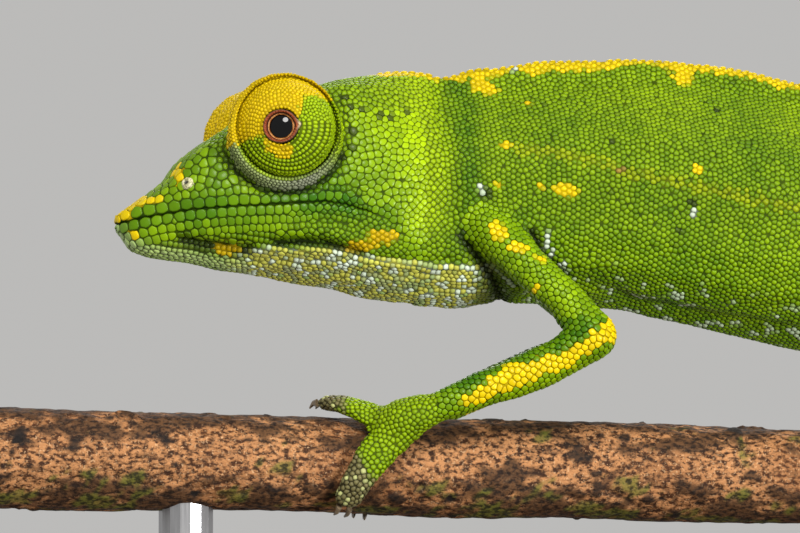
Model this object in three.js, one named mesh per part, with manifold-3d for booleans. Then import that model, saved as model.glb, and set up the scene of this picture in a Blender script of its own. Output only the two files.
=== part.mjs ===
// A small green chameleon that grips a cut length of branch, which two rods carry on a flat base.
// Millimetres, +Z up. The animal faces -Y and its left side is +X.
import * as THREE from 'three';
import { mergeVertices } from 'three/addons/utils/BufferGeometryUtils.js';
import Module from 'manifold-3d';

const wasm = await Module();
wasm.setup();

// ---- Driving dimensions -------------------------------------------------------------------

// The animal is measured from its snout tip, with z = 0 on the bark under the left forefoot.
const SNOUT_FROM_BASE_MIDDLE = 44;
const BARK_ABOVE_FLOOR = 30;
const CUT = 0.2;            // gap between two lengths of flesh that touch
const CLAW_GAP = 0.1;

const HEAD_END = 17.7;
const NECK_END = 21.4;
const TRUNK_MIDDLE = 41;
const TRUNK_END = 64;

// Side view, (y, z) in millimetres.
const DORSAL_LINE = [
  [0, 10.8], [0.45, 11.2], [1.4, 11.8], [2.3, 12.3], [3, 13.2], [3.6, 14], [4.6, 14.8], [8.6, 17.2],
  [12.2, 18.5], [14.4, 18.95], [16, 19.15], [17.6, 19], [18.4, 18.8], [19.8, 19.25], [23.6, 19.7],
  [29.3, 20.05], [33, 19.8], [38.3, 18.9], [46, 17.1], [54, 14.6], [60, 12.6], [65, 11.1],
];
const VENTRAL_LINE = [
  [0, 10.1], [0.2, 9.5], [0.6, 9], [1.9, 8.5], [4.2, 8.2], [6.8, 7.7], [9.3, 7.35], [11.9, 6.9],
  [14.4, 6.4], [16.9, 6.05], [19.1, 5.95], [21, 6.3], [27.4, 6.1], [32.3, 5.2], [38.3, 4], [45, 3.2],
  [51, 3.2], [57, 4.4], [61, 5.6], [65, 6.2],
];
// The top of the lower lip, from the snout to the corner of the mouth.
const MOUTH_LINE = [
  [-1, 10.2], [0, 10.3], [1.3, 10.6], [3.8, 11], [6.3, 11.2], [8.8, 11.3], [10.8, 11.45],
  [11.9, 11.35], [13, 11.05], [14.2, 10.6],
];
const JAW_ANGLE = [[15.2, 9.2], [16.6, 5]];

// Half widths, (y, mm), at four heights of the cross-section.
const BROW_HALF = [[0, 0.4], [0.5, 0.8], [2.3, 1.5], [4.6, 2.1], [8.6, 2.75], [12, 2.7], [14.4, 2],
  [17.6, 1.2], [20, 0.9], [32, 1.1], [48, 1.1], [65, 0.8]];
const TEMPLE_HALF = [[0, 0.6], [0.5, 1.1], [2.3, 1.9], [4.6, 2.7], [8.6, 3.4], [12, 3.85], [14.4, 3.8],
  [17.6, 3.3], [20, 3.4], [24, 3.9], [31, 4.3], [40, 4.5], [49, 4.2], [57, 3.1], [65, 1.8]];
const LIP_HALF = [[0, 0.6], [0.5, 1.2], [2.3, 2.1], [4.6, 3], [8.6, 3.85], [12, 4.25], [14.4, 4.2],
  [17.6, 3.7], [20, 3.9], [24, 4.4], [31, 4.9], [40, 5.1], [49, 4.7], [57, 3.5], [65, 1.9]];
const JAW_HALF = [[0, 0.4], [0.5, 0.9], [2.3, 1.6], [4.6, 2.3], [8.6, 3], [12, 3.45], [14.4, 3.5],
  [17.6, 3.2], [20, 3.3], [24, 3.6], [31, 3.9], [40, 4], [49, 3.6], [57, 2.7], [65, 1.4]];
// How far the brow lies below the dorsal line, and the share of the depth below each other height.
const BROW_DROP = [[0, 0.15], [2.3, 0.3], [4.6, 0.45], [8.6, 0.4], [12, 0.5], [14.4, 0.8], [17.6, 1.3],
  [20, 1.4], [65, 1]];
const TEMPLE_SHARE = [[0, 0.75], [2.3, 0.8], [4.6, 0.75], [8.6, 0.68], [14.4, 0.66], [65, 0.7]];
const LIP_SHARE = [[0, 0.45], [4.6, 0.46], [8.6, 0.4], [14.4, 0.37], [20, 0.4], [65, 0.44]];
const JAW_SHARE = [[0, 0.12], [4.6, 0.14], [14.4, 0.14], [30, 0.15], [65, 0.18]];

const TURRET = { x: 4, y: 8.65, z: 15.3, ring: 3.2, groove: 2.82, dome: 1.85, depth: 1.9, lean: 0.07 };
const EYEBALL = { radius: 1.45, centre: 0.42, lid: 0.98, opening: 0.76 };
// Each eye looks its own way: y is forward when negative, and z is up.
const GAZE = { left: { y: -0.36, z: 0 }, right: { y: -0.42, z: -0.1 } };

const PERCH = { start: -13, end: 81, radius: 2.7, startAxis: -2.35, endAxis: -3.5 };
const BASE = { length: 118, width: 46, thickness: 5, corner: 8, bevel: 0.8 };
const ROD = { diameter: 3, front: 4, rear: 67 };

const HIDE = { green: 0x7da312, dark: 0x6b8f12, belly: 0x8ca05a, limb: 0x8cae20, tail: 0x7b9a16 };

// ---- Small tools --------------------------------------------------------------------------

const group = new THREE.Group();
const animal = new THREE.Group();
animal.position.set(0, -SNOUT_FROM_BASE_MIDDLE, BARK_ABOVE_FLOOR);
group.add(animal);

const point = (x, y, z) => new THREE.Vector3(x, y, z);

/** The value of a table of [t, value] rows at t, on a smooth curve that never overshoots. */
function along(table, t) {
  const last = table.length - 1;
  if (t <= table[0][0]) return table[0][1];
  if (t >= table[last][0]) return table[last][1];
  const k = table.findIndex((row) => row[0] > t) - 1;
  const step = (i) => (table[i + 1][1] - table[i][1]) / (table[i + 1][0] - table[i][0]);
  const slope = (i) => {
    if (i === 0) return step(0);
    if (i === last) return step(last - 1);
    const product = step(i - 1) * step(i);
    return product <= 0 ? 0 : (2 * product) / (step(i - 1) + step(i));
  };
  const width = table[k + 1][0] - table[k][0];
  const s = (t - table[k][0]) / width;
  const rise = s * s * (3 - 2 * s);
  const bend = (s ** 3 - 2 * s * s + s) * slope(k) + (s ** 3 - s * s) * slope(k + 1);
  return table[k][1] + (table[k + 1][1] - table[k][1]) * rise + width * bend;
}

/** Turns a geometry inside out where its faces point inwards. */
function facingOut(geometry) {
  const p = geometry.attributes.position;
  const index = geometry.index.array;
  const corner = (i) => new THREE.Vector3().fromBufferAttribute(p, index[i]);
  let volume = 0;
  for (let i = 0; i < index.length; i += 3) {
    volume += corner(i).dot(corner(i + 1).cross(corner(i + 2)));
  }
  if (volume < 0) {
    for (let i = 0; i < index.length; i += 3) {
      [index[i], index[i + 1]] = [index[i + 1], index[i]];
    }
  }
  return geometry;
}

/** A closed solid through rings of the same number of points, with a flat fan on each end. */
function loft(rings) {
  const sides = rings[0].length;
  const points = rings.flat();
  const index = [];
  for (let r = 0; r + 1 < rings.length; r += 1) {
    for (let s = 0; s < sides; s += 1) {
      const a = r * sides + s;
      const b = r * sides + ((s + 1) % sides);
      index.push(a, b, b + sides, a, b + sides, a + sides);
    }
  }
  const cap = (first, flip) => {
    const centre = point(0, 0, 0);
    for (let s = 0; s < sides; s += 1) centre.add(points[first + s]);
    points.push(centre.divideScalar(sides));
    for (let s = 0; s < sides; s += 1) {
      const edge = [first + s, first + ((s + 1) % sides)];
      if (flip) edge.reverse();
      index.push(edge[0], points.length - 1, edge[1]);
    }
  };
  const lastRing = (rings.length - 1) * sides;
  cap(0, false);
  cap(lastRing, true);
  const geometry = new THREE.BufferGeometry().setFromPoints(points);
  geometry.setIndex(index);
  return facingOut(geometry);
}

function solid(geometry) {
  const bare = geometry.clone();
  for (const name of Object.keys(bare.attributes)) {
    if (name !== 'position') bare.deleteAttribute(name);
  }
  const merged = facingOut(mergeVertices(bare, 1e-4));
  return new wasm.Manifold(new wasm.Mesh({
    numProp: 3,
    vertProperties: Float32Array.from(merged.attributes.position.array),
    triVerts: Uint32Array.from(merged.index.array),
  }));
}

function geometryOf(body) {
  const mesh = body.getMesh();
  const geometry = new THREE.BufferGeometry();
  geometry.setAttribute('position', new THREE.BufferAttribute(Float32Array.from(mesh.vertProperties), 3));
  geometry.setIndex(Array.from(mesh.triVerts));
  return geometry;
}

function add(name, geometry, color, finish = {}) {
  const flat = geometry.index ? geometry : mergeVertices(geometry);
  const material = new THREE.MeshStandardMaterial({ color, roughness: 0.55, metalness: 0, ...finish });
  const mesh = new THREE.Mesh(flat, material);
  mesh.name = name;
  animal.add(mesh);
  return mesh;
}

/** Cuts tools out of a geometry and gives the geometry that is left. */
const carved = (geometry, ...tools) => geometryOf(
  tools.reduce((body, tool) => body.subtract(solid(tool)), solid(geometry)),
);

const TANGENT_REACH = 0.8;  // a ring faces along the chord this far each way, so a bend stays open

/**
 * Rings of an oval section along a curve. half(t) gives the half width across and the half
 * thickness, and up(t) the way that the thickness points.
 */
function rings(curve, from, to, steps, sides, half, up, roundStart = 0, roundEnd = 0) {
  const places = [];
  for (let k = 0; k <= steps; k += 1) places.push([from + ((to - from) * k) / steps, 1]);
  const length = curve.getLength();
  const nose = (at, direction, size) => [[0, 0.45], [0.25, 0.8]].map(
    ([share, scale]) => [at + (direction * share * size) / length, scale],
  );
  if (roundStart) {
    places[0][0] += roundStart / length;
    places.unshift(...nose(from, 1, roundStart));
  }
  if (roundEnd) {
    places[places.length - 1][0] -= roundEnd / length;
    places.push(...nose(to, -1, roundEnd).reverse());
  }
  const at = (t) => curve.getPointAt(Math.min(1, Math.max(0, t)));
  return places.map(([t, scale]) => {
    const centre = at(t);
    const tangent = at(t + TANGENT_REACH / length).sub(at(t - TANGENT_REACH / length)).normalize();
    const side = new THREE.Vector3().crossVectors(tangent, up(t, centre)).normalize();
    const normal = new THREE.Vector3().crossVectors(side, tangent).normalize();
    const [wide, thick] = half(t);
    return Array.from({ length: sides }, (_, s) => {
      const angle = ((s + 0.5) / sides) * 2 * Math.PI;
      return centre.clone()
        .addScaledVector(side, Math.cos(angle) * wide * scale)
        .addScaledVector(normal, Math.sin(angle) * thick * scale);
    });
  });
}

// ---- Head, neck and trunk -----------------------------------------------------------------

/** The cross-section of the body at y, as a ring of points round the midline. */
function bodyRing(y) {
  const top = along(DORSAL_LINE, y);
  const bottom = along(VENTRAL_LINE, y);
  const level = (table) => bottom + (top - bottom) * along(table, y);
  const side = [
    [along(BROW_HALF, y), top - along(BROW_DROP, y)],
    [along(TEMPLE_HALF, y), level(TEMPLE_SHARE)],
    [along(LIP_HALF, y), level(LIP_SHARE)],
    [along(JAW_HALF, y), level(JAW_SHARE)],
  ];
  const right = side.map(([x, z]) => point(-x, y, z)).reverse();
  const left = side.map(([x, z]) => point(x, y, z));
  const outline = new THREE.CatmullRomCurve3(
    [point(0, y, top), ...left, point(0, y, bottom), ...right], true, 'catmullrom', 0.5,
  );
  const count = 2 * outline.points.length;
  return Array.from({ length: count }, (_, k) => outline.getPoint(k / count));
}

function bodyLength(from, to, steps) {
  return loft(Array.from({ length: steps + 1 }, (_, k) => bodyRing(from + ((to - from) * k) / steps)));
}

/** The room that the lower jaw takes: all that lies below the mouth, in front of the jaw angle. */
function jawRoom(shift) {
  const outline = [...MOUTH_LINE, ...JAW_ANGLE, [-1, JAW_ANGLE[1][1]]];
  const shape = new THREE.Shape(outline.map(([y, z]) => new THREE.Vector2(y + shift, z + shift)));
  const halfWidth = 6;
  const room = new THREE.ExtrudeGeometry(shape, { depth: 2 * halfWidth, bevelEnabled: false });
  // The shape's x runs along y, its y along z, and the extrusion across the animal.
  room.applyMatrix4(new THREE.Matrix4().makeBasis(point(0, 1, 0), point(0, 0, 1), point(1, 0, 0)));
  room.translate(-halfWidth, 0, 0);
  return room;
}

/** Moves a solid of revolution about +Z to an eye's place, so that +Z points out of the head. */
function placedEye(geometry, mirror) {
  const outward = point(mirror, -TURRET.lean, 0).normalize();
  const turn = new THREE.Quaternion().setFromUnitVectors(point(0, 0, 1), outward);
  return geometry.clone().applyQuaternion(turn).translate(mirror * TURRET.x, TURRET.y, TURRET.z);
}

/** Swings the dome of a placed turret round its eyeball, from not at all at its foot to fully above. */
function swung(geometry, mirror, gaze) {
  const outward = point(mirror, -TURRET.lean, 0).normalize();
  const foot = point(mirror * TURRET.x, TURRET.y, TURRET.z);
  const pivot = foot.clone().addScaledVector(outward, EYEBALL.centre);
  const look = outward.clone().add(point(0, gaze.y, gaze.z)).normalize();
  const full = new THREE.Quaternion().setFromUnitVectors(outward, look);
  const turned = geometry.clone();
  const places = turned.attributes.position;
  const still = new THREE.Quaternion();
  for (let i = 0; i < places.count; i += 1) {
    const place = new THREE.Vector3().fromBufferAttribute(places, i);
    const height = place.clone().sub(foot).dot(outward);
    const share = THREE.MathUtils.smoothstep(height, 0.1, 0.9);
    place.sub(pivot).applyQuaternion(still.clone().slerp(full, share)).add(pivot);
    places.setXYZ(i, place.x, place.y, place.z);
  }
  return turned;
}

const lathe = (profile, sides) => {
  const turned = new THREE.LatheGeometry(profile.map(([r, h]) => new THREE.Vector2(r, h)), sides);
  return turned.rotateX(Math.PI / 2);
};

/** The domed, scaly lid that covers an eye, with its round opening, and a ring fold round its foot. */
function turretProfile() {
  const { ring, groove, dome, depth } = TURRET;
  const { radius, centre, lid, opening } = EYEBALL;
  const profile = [[0, -depth], [ring - 0.5, -depth], [ring - 0.08, -0.7], [ring, -0.25],
    [ring - 0.12, 0.1], [groove, 0.08]];
  const foot = { reach: groove - 0.06, height: 0.2 };
  const sweep = 0.4 * Math.PI;
  const domeSteps = 4;
  for (let k = 1; k <= domeSteps; k += 1) {
    const angle = (k / domeSteps) * sweep;
    const inward = (1 - Math.cos(angle)) / (1 - Math.cos(sweep));
    const upward = Math.sin(angle) / Math.sin(sweep);
    profile.push([foot.reach + (lid - foot.reach) * inward, foot.height + (dome - foot.height) * upward]);
  }
  const cup = radius + CUT;
  const cupSteps = 4;
  const mouth = Math.asin(opening / cup);
  for (let k = 0; k <= cupSteps; k += 1) {
    const angle = mouth + ((Math.PI - mouth) * k) / cupSteps;
    profile.push([cup * Math.sin(angle), centre + cup * Math.cos(angle)]);
  }
  profile[profile.length - 1][0] = 0;
  return profile;
}

function head() {
  const skull = bodyLength(0, HEAD_END, 20);
  const socketProfile = [[0, -TURRET.depth - CUT], [TURRET.ring - 0.2, -TURRET.depth - CUT],
    [TURRET.ring + CUT, -0.6], [TURRET.ring + CUT, 3], [0, 3]];
  const socket = lathe(socketProfile, 16);
  const sockets = [1, -1].map((mirror) => placedEye(socket, mirror));
  add('head', carved(skull, jawRoom(CUT), ...sockets), HIDE.green);
  const jaw = solid(skull).intersect(solid(jawRoom(0)));
  add('lower_jaw', carved(geometryOf(jaw), ...sockets), HIDE.belly);

  const turret = lathe(turretProfile(), 18);
  const eyeball = new THREE.SphereGeometry(EYEBALL.radius, 12, 7);
  eyeball.rotateX(Math.PI / 2).translate(0, 0, EYEBALL.centre);
  for (const [side, mirror] of [['left', 1], ['right', -1]]) {
    add(`eye_turret_${side}`, swung(placedEye(turret, mirror), mirror, GAZE[side]), 0xa8ac20);
    add(`eyeball_${side}`, placedEye(eyeball, mirror), 0x1c1208, { roughness: 0.1 });
  }
}

// ---- Legs ---------------------------------------------------------------------------------

const perchAxis = (y) => {
  const share = (y - PERCH.start) / (PERCH.end - PERCH.start);
  return PERCH.startAxis + (PERCH.endAxis - PERCH.startAxis) * share;
};

/** A point beside the perch: angle is measured up from the outer side, and out from the bark. */
function roundPerch(y, degrees, out, mirror) {
  const angle = THREE.MathUtils.degToRad(degrees);
  const reach = PERCH.radius + out;
  return point(mirror * reach * Math.cos(angle), y, perchAxis(y) + reach * Math.sin(angle));
}

const FORELEG = {
  name: 'fore',
  path: [[2.8, 19.5, 10.8], [4, 20.8, 9.4], [5, 22.9, 7.2], [5.7, 25, 5.35], [6, 25.7, 4.35],
    [5.85, 25.1, 3.4], [5.35, 23, 2.75], [4.6, 20, 1.6], [3.7, 17.2, 0.4]],
  palm: { y: 14.4, degrees: 38, out: 0.95 },
  half: [[0, 1.3], [0.2, 1.18], [0.36, 1.06], [0.46, 1.04], [0.55, 1.12], [0.75, 1.05], [0.86, 0.92],
    [0.93, 1.2], [1, 1.1]],
  upper: 0.47,
  lower: 0.86,
  inner: { count: 3, endY: 11.7, endDegrees: 92, half: 1.05, end: 0.8 },
  outer: { count: 2, endY: 12.3, endDegrees: -42, half: 1.2, end: 0.82 },
};
const HINDLEG = {
  name: 'hind',
  path: [[1.6, 58.8, 9.2], [3.4, 57.6, 8.4], [5.4, 54.8, 6.9], [6.5, 52.8, 5.5], [6.8, 52.2, 4.6],
    [6.6, 52.8, 3.7], [6, 54.6, 2.9], [4.8, 57.2, 1.6], [3.8, 59.4, 0.4]],
  palm: { y: 61, degrees: 36, out: 0.85 },
  half: [[0, 1.5], [0.2, 1.45], [0.4, 1.2], [0.5, 1.05], [0.7, 0.95], [0.86, 0.84], [0.93, 1], [1, 0.8]],
  upper: 0.49,
  lower: 0.86,
  inner: { count: 2, endY: 61.6, endDegrees: 104, half: 1, end: 0.8 },
  outer: { count: 3, endY: 62.6, endDegrees: -44, half: 1.2, end: 0.95 },
};

// Degrees round the perch from the palm's middle to the root of a bundle, up and down.
const SPLAY = { up: 9, down: 17 };
// A section's width and thickness, as shares of the half width at its place along the leg.
const SECTION = { leg: [1, 0.95], palm: [1.05, 0.8] };
// How far a leg's sections turn from facing away from the perch to facing straight outwards.
const LEG_TURN = 0.3;
const CLAW = { length: 0.75, width: 0.17, height: 0.26, taper: 0.77, spread: 1.5, lift: 0.05, arch: 0.06,
  hook: 0.16 };

/** The two bundles of toes wrap the perch from the palm, one over its top and one down its side. */
function toeBundle(leg, bundle, mirror, shift) {
  const { palm } = leg;
  const thick = 0.55;
  const places = 5;
  const apart = bundle.endDegrees > palm.degrees ? SPLAY.up : -SPLAY.down;
  const path = new THREE.CatmullRomCurve3(Array.from({ length: places }, (_, k) => {
    const s = k / (places - 1);
    const degrees = palm.degrees + apart + (bundle.endDegrees - palm.degrees - apart) * s;
    const y = palm.y + shift + (bundle.endY - palm.y) * (1 - (1 - s) ** 1.6);
    return roundPerch(y, degrees, thick + CLAW_GAP + 0.15 * Math.sin(Math.PI * s), mirror);
  }));
  const outward = (_, centre) => point(centre.x, 0, centre.z - perchAxis(centre.y)).normalize();
  const wrapped = (grown) => loft(rings(path, 0, 1, 3, 8, (t) => [
    bundle.half + (bundle.end - bundle.half) * t + grown, thick * (1 - 0.1 * t) + grown,
  ], outward, 0.5, 0.45));
  return { path, outward, shape: wrapped(0), room: wrapped(CUT) };
}

/** Short hooked claws, side by side on the end of a bundle of toes. */
function claws(prefix, firstNumber, bundle, { path, outward }) {
  const tip = path.getPointAt(1);
  const forward = path.getTangentAt(1);
  const out = outward(1, tip);
  const side = new THREE.Vector3().crossVectors(forward, out).normalize();
  const half = (t) => [CLAW.width, CLAW.height].map((size) => size * (1 - CLAW.taper * t));
  for (let k = 0; k < bundle.count; k += 1) {
    const across = (k - (bundle.count - 1) / 2) * (CLAW.spread * bundle.end / bundle.count);
    const root = tip.clone().addScaledVector(forward, CLAW_GAP).addScaledVector(side, across)
      .addScaledVector(out, CLAW.lift);
    const hook = new THREE.CatmullRomCurve3([
      root,
      root.clone().addScaledVector(forward, CLAW.length / 2).addScaledVector(out, CLAW.arch),
      root.clone().addScaledVector(forward, CLAW.length).addScaledVector(out, -CLAW.hook),
    ]);
    add(`${prefix}_claw_${firstNumber + k}`, loft(rings(hook, 0, 1, 2, 6, half, () => out)), 0x5c4a34,
      { roughness: 0.4 });
  }
}

/** Builds one leg and gives the room that its root takes in the body. */
function leg(model, side, mirror, shift) {
  const { palm } = model;
  const path = new THREE.CatmullRomCurve3([
    ...model.path.map(([x, y, z]) => point(mirror * x, y + shift, z)),
    roundPerch(palm.y + shift, palm.degrees, palm.out, mirror),
  ], false, 'catmullrom', 0.5);
  const up = (t, centre) => {
    const fromPerch = point(centre.x, 0, centre.z - perchAxis(centre.y)).normalize();
    return fromPerch.lerp(point(mirror, 0, 0), t > model.lower ? 0 : LEG_TURN).normalize();
  };
  const half = (t) => {
    const shares = t > model.lower ? SECTION.palm : SECTION.leg;
    return shares.map((share) => share * along(model.half, t));
  };
  const gap = CUT / path.getLength();
  const prefix = `${model.name}leg_${side}`;
  const foot = `${model.name}foot_${side}`;
  const grown = (t) => half(t).map((h) => h + CUT);
  add(`${prefix}_upper`, loft(rings(path, 0, model.upper, 7, 10, half, up)), HIDE.limb);
  add(`${prefix}_lower`, loft(rings(path, model.upper + gap, model.lower, 7, 10, half, up)), HIDE.limb);
  const palmShape = loft(rings(path, model.lower + gap, 1, 3, 10, half, up, 0, 0.6));
  add(`${foot}_palm`, palmShape, HIDE.limb);
  const palmRoom = loft(rings(path, model.lower + gap, 1, 3, 10, grown, up, 0, 0.4));
  const taken = [palmRoom];
  let firstNumber = 1;
  for (const part of ['inner', 'outer']) {
    const bundle = model[part];
    const toes = toeBundle(model, bundle, mirror, shift);
    add(`${foot}_${part}_toes`, carved(toes.shape, ...taken), HIDE.limb);
    claws(foot, firstNumber, bundle, toes);
    taken.push(toes.room);
    firstNumber += bundle.count;
  }
  return loft(rings(path, 0, model.upper, 7, 10, grown, up));
}

// ---- Trunk and tail -----------------------------------------------------------------------

function trunk(roots) {
  add('neck', carved(bodyLength(HEAD_END + CUT, NECK_END, 4), ...roots), HIDE.green);
  add('trunk_front', carved(bodyLength(NECK_END + CUT, TRUNK_MIDDLE, 8), ...roots), HIDE.green);
  add('trunk_rear', carved(bodyLength(TRUNK_MIDDLE + CUT, TRUNK_END, 9), ...roots), HIDE.dark);
}

/** The tail runs back and down from the hips, then curls under itself in an open spiral. */
function tail() {
  const curl = { y: 91.5, z: -5.2, outer: 8.4, inner: 2.6, turns: 1.3 };
  const inTrunk = 2;        // the curve starts this far inside the trunk
  const points = [
    point(0, TRUNK_END - inTrunk, 8.6), point(0, TRUNK_END + 1, 8.55), point(0, TRUNK_END + 3, 8.2),
    point(0, 71, 7), point(0, 78, 5.1), point(0, 85, 3.75),
  ];
  const pointsPerTurn = 10;
  const count = Math.round(curl.turns * pointsPerTurn);
  for (let k = 0; k <= count; k += 1) {
    const share = k / count;
    const angle = Math.PI / 2 - share * curl.turns * 2 * Math.PI;
    const reach = curl.outer + (curl.inner - curl.outer) * share;
    points.push(point(0, curl.y + reach * Math.cos(angle), curl.z + reach * Math.sin(angle)));
  }
  const path = new THREE.CatmullRomCurve3(points, false, 'catmullrom', 0.5);
  const start = (inTrunk + CUT) / path.getLength();
  const wide = [[0, 1.85], [0.08, 1.6], [0.2, 1.25], [0.4, 0.95], [0.7, 0.68], [1, 0.38]];
  const high = [[0, 2.45], [0.08, 2], [0.2, 1.45], [0.4, 1.08], [0.7, 0.76], [1, 0.4]];
  // The thickness points along x, so the width of a ring lies in the plane of the curl.
  const half = (t) => [along(high, t), along(wide, t)];
  const lengths = [0.2, 0.4, 0.6, 0.8, 1];
  const gap = CUT / path.getLength();
  let from = start;
  lengths.forEach((to, k) => {
    const nose = to === 1 ? 0.4 : 0;
    const steps = k < 2 ? 6 : 8;
    const outline = rings(path, from, to, steps, 10, half, () => point(1, 0, 0), 0, nose);
    add(`tail_${k + 1}`, loft(outline), HIDE.tail);
    from = to + gap;
  });
}

// ---- Perch and display stand --------------------------------------------------------------

/** A cut length of branch, a little crooked and knotty. */
function perch(rodHoles) {
  const places = 15;
  const sides = 14;
  const stations = Array.from({ length: places + 1 }, (_, k) => {
    const y = PERCH.start + ((PERCH.end - PERCH.start) * k) / places;
    const sway = 0.12 * Math.sin(y * 0.16 + 1);
    return Array.from({ length: sides }, (__, s) => {
      const angle = (s / sides) * 2 * Math.PI;
      const lump = 1 + 0.025 * Math.sin(2 * angle + y * 0.21) + 0.02 * Math.sin(3 * angle - y * 0.34);
      const reach = (PERCH.radius - 0.06) * lump;
      return point(sway + reach * Math.cos(angle), y, perchAxis(y) + reach * Math.sin(angle));
    });
  });
  add('perch', carved(loft(stations), ...rodHoles), 0x8e6439, { roughness: 0.85 });
}

function stand() {
  const floor = -BARK_ABOVE_FLOOR;
  const { length, width, thickness, corner, bevel } = BASE;
  const halfWidth = width / 2 - bevel;
  const halfLength = length / 2 - bevel;
  const shape = new THREE.Shape();
  shape.moveTo(-halfWidth + corner, -halfLength);
  const corners = [[1, -1, -Math.PI / 2], [1, 1, 0], [-1, 1, Math.PI / 2], [-1, -1, Math.PI]];
  for (const [x, y, from] of corners) {
    const centre = [x * (halfWidth - corner), y * (halfLength - corner)];
    shape.absarc(...centre, corner, from, from + Math.PI / 2, false);
  }
  const plate = new THREE.ExtrudeGeometry(shape, {
    depth: thickness - 2 * bevel,
    bevelThickness: bevel,
    bevelSize: bevel,
    bevelSegments: 1,
    curveSegments: 3,
  });
  plate.translate(0, SNOUT_FROM_BASE_MIDDLE, floor + bevel);

  const rodHoles = [];
  const rods = [['front', ROD.front], ['rear', ROD.rear]];
  const sink = 1.6;
  for (const [name, y] of rods) {
    const top = perchAxis(y) - PERCH.radius + sink;
    const bottom = floor + thickness - sink;
    const rod = (radius, low, high) => new THREE.CylinderGeometry(radius, radius, high - low, 16)
      .rotateX(Math.PI / 2).translate(0, y, (low + high) / 2);
    const steel = { roughness: 0.3, metalness: 1 };
    add(`stand_rod_${name}`, rod(ROD.diameter / 2, bottom, top), 0xb8babd, steel);
    rodHoles.push(rod(ROD.diameter / 2 + CUT, bottom - CUT, top + CUT));
  }
  add('stand_base', carved(plate, ...rodHoles), 0x2b2a29, { roughness: 0.4 });
  perch(rodHoles);
}

// ---- The whole object ---------------------------------------------------------------------

head();
// The right legs stand a little behind the left ones, and the right elbow is drawn in, back and up.
const RIGHT_FORE_SHIFT = 1.9;
const RIGHT_HIND_SHIFT = 2.4;
const RIGHT_ELBOW = { inwards: 0.92, back: 0.5, lift: 0.3, up: 0.6 };
const RIGHT_FORELEG = {
  ...FORELEG,
  path: FORELEG.path.map(([x, y, z], k, all) => {
    const share = Math.sin((Math.PI * k) / (all.length - 1));
    const { inwards, back, lift, up } = RIGHT_ELBOW;
    return [x * inwards, y + back * share, z + lift + up * share];
  }),
  inner: { ...FORELEG.inner, endY: 14.4, endDegrees: 86 },
};
const roots = [
  leg(FORELEG, 'left', 1, 0), leg(RIGHT_FORELEG, 'right', -1, RIGHT_FORE_SHIFT),
  leg(HINDLEG, 'left', 1, 0), leg(HINDLEG, 'right', -1, RIGHT_HIND_SHIFT),
];
trunk(roots);
tail();
stand();

export default group;
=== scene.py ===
"""A small green chameleon on its perch: skin, scales, eyes, claws, bark, display stand and studio.

Everything is worked out in millimetres in the animal's own frame: x to its left, y back from the
tip of the snout, z up from the bark under its left forefoot. Meshes are made in metres.
"""

import math
from collections import defaultdict

import bmesh
import bpy
import numpy as np
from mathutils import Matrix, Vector
from mathutils.bvhtree import BVHTree
from mathutils.kdtree import KDTree


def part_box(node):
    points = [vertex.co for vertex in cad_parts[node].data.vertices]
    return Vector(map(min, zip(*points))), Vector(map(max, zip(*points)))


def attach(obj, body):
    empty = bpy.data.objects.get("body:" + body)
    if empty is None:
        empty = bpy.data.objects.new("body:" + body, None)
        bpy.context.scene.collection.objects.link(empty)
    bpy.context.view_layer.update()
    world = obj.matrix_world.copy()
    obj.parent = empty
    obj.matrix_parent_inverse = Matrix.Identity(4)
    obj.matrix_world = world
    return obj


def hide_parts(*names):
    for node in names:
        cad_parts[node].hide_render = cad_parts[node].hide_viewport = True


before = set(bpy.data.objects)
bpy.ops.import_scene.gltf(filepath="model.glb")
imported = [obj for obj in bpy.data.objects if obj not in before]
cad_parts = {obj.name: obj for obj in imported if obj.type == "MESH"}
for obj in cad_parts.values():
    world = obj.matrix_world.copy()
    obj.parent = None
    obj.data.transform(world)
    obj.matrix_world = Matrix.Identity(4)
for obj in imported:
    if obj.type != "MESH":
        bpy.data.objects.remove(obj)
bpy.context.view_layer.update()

# ---- Sizes and places ----------------------------------------------------------------------

MM = 0.001
HOME = np.array([0.0, -44.0, 30.0])     # the tip of the snout, over the bark, in the frame

VOXEL = 0.19            # step of the skin's mesh
GROWTH = 0.2            # each length of flesh grows by this, so that its neighbours join it
COAT_DEPTH = 0.08       # the scales stand this high over the skin
SMOOTHING_ROUNDS = 60
FARTHEST = 0.6          # how far the smoothed skin is moved back to the flesh at a time
SUPPLENESS = {          # share of a facet that one round of smoothing takes away
    "head": 0.34, "lower_jaw": 0.34, "neck": 0.5, "trunk": 0.5, "tail": 0.3, "eye_turret": 0.1,
    "leg": 0.36, "palm": 0.3, "toes": 0.12, "eyeball": 0.1,
}

# Side view, (y, z).
MOUTH = [(-0.6, 10.25), (0, 10.3), (1.3, 10.6), (3.8, 11), (6.3, 11.2), (8.8, 11.3), (10.8, 11.45),
         (11.9, 11.35), (13, 11.05), (14.2, 10.6)]
TAIL_RUN = [(62, 8.6), (65, 8.55), (67, 8.2), (71, 7), (78, 5.1), (85, 3.75)]
TAIL_CURL = {"y": 91.5, "z": -5.2, "outer": 8.4, "inner": 2.6, "turns": 1.3}

TURRET = {"x": 4, "y": 8.65, "z": 15.3, "ring": 3.2, "lean": 0.07, "lid": 0.94}
# The furrow round a turret's dome is a circle a little behind and above the turret's middle.
FURROW = {"reach": 2.71, "back": 0.085, "up": 0.155}
GAZE = {1: (-0.36, 0.0), -1: (-0.42, -0.1)}       # by side: left is 1, right is -1
PUPIL = 0.64            # radius of the black pupil
IRIS = 0.69             # radius of the gold ring round it
NOSTRIL = (3.62, 12.42)
SIDES = {1: "left", -1: "right"}
BESIDE = 12             # clear of the animal's side

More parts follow.
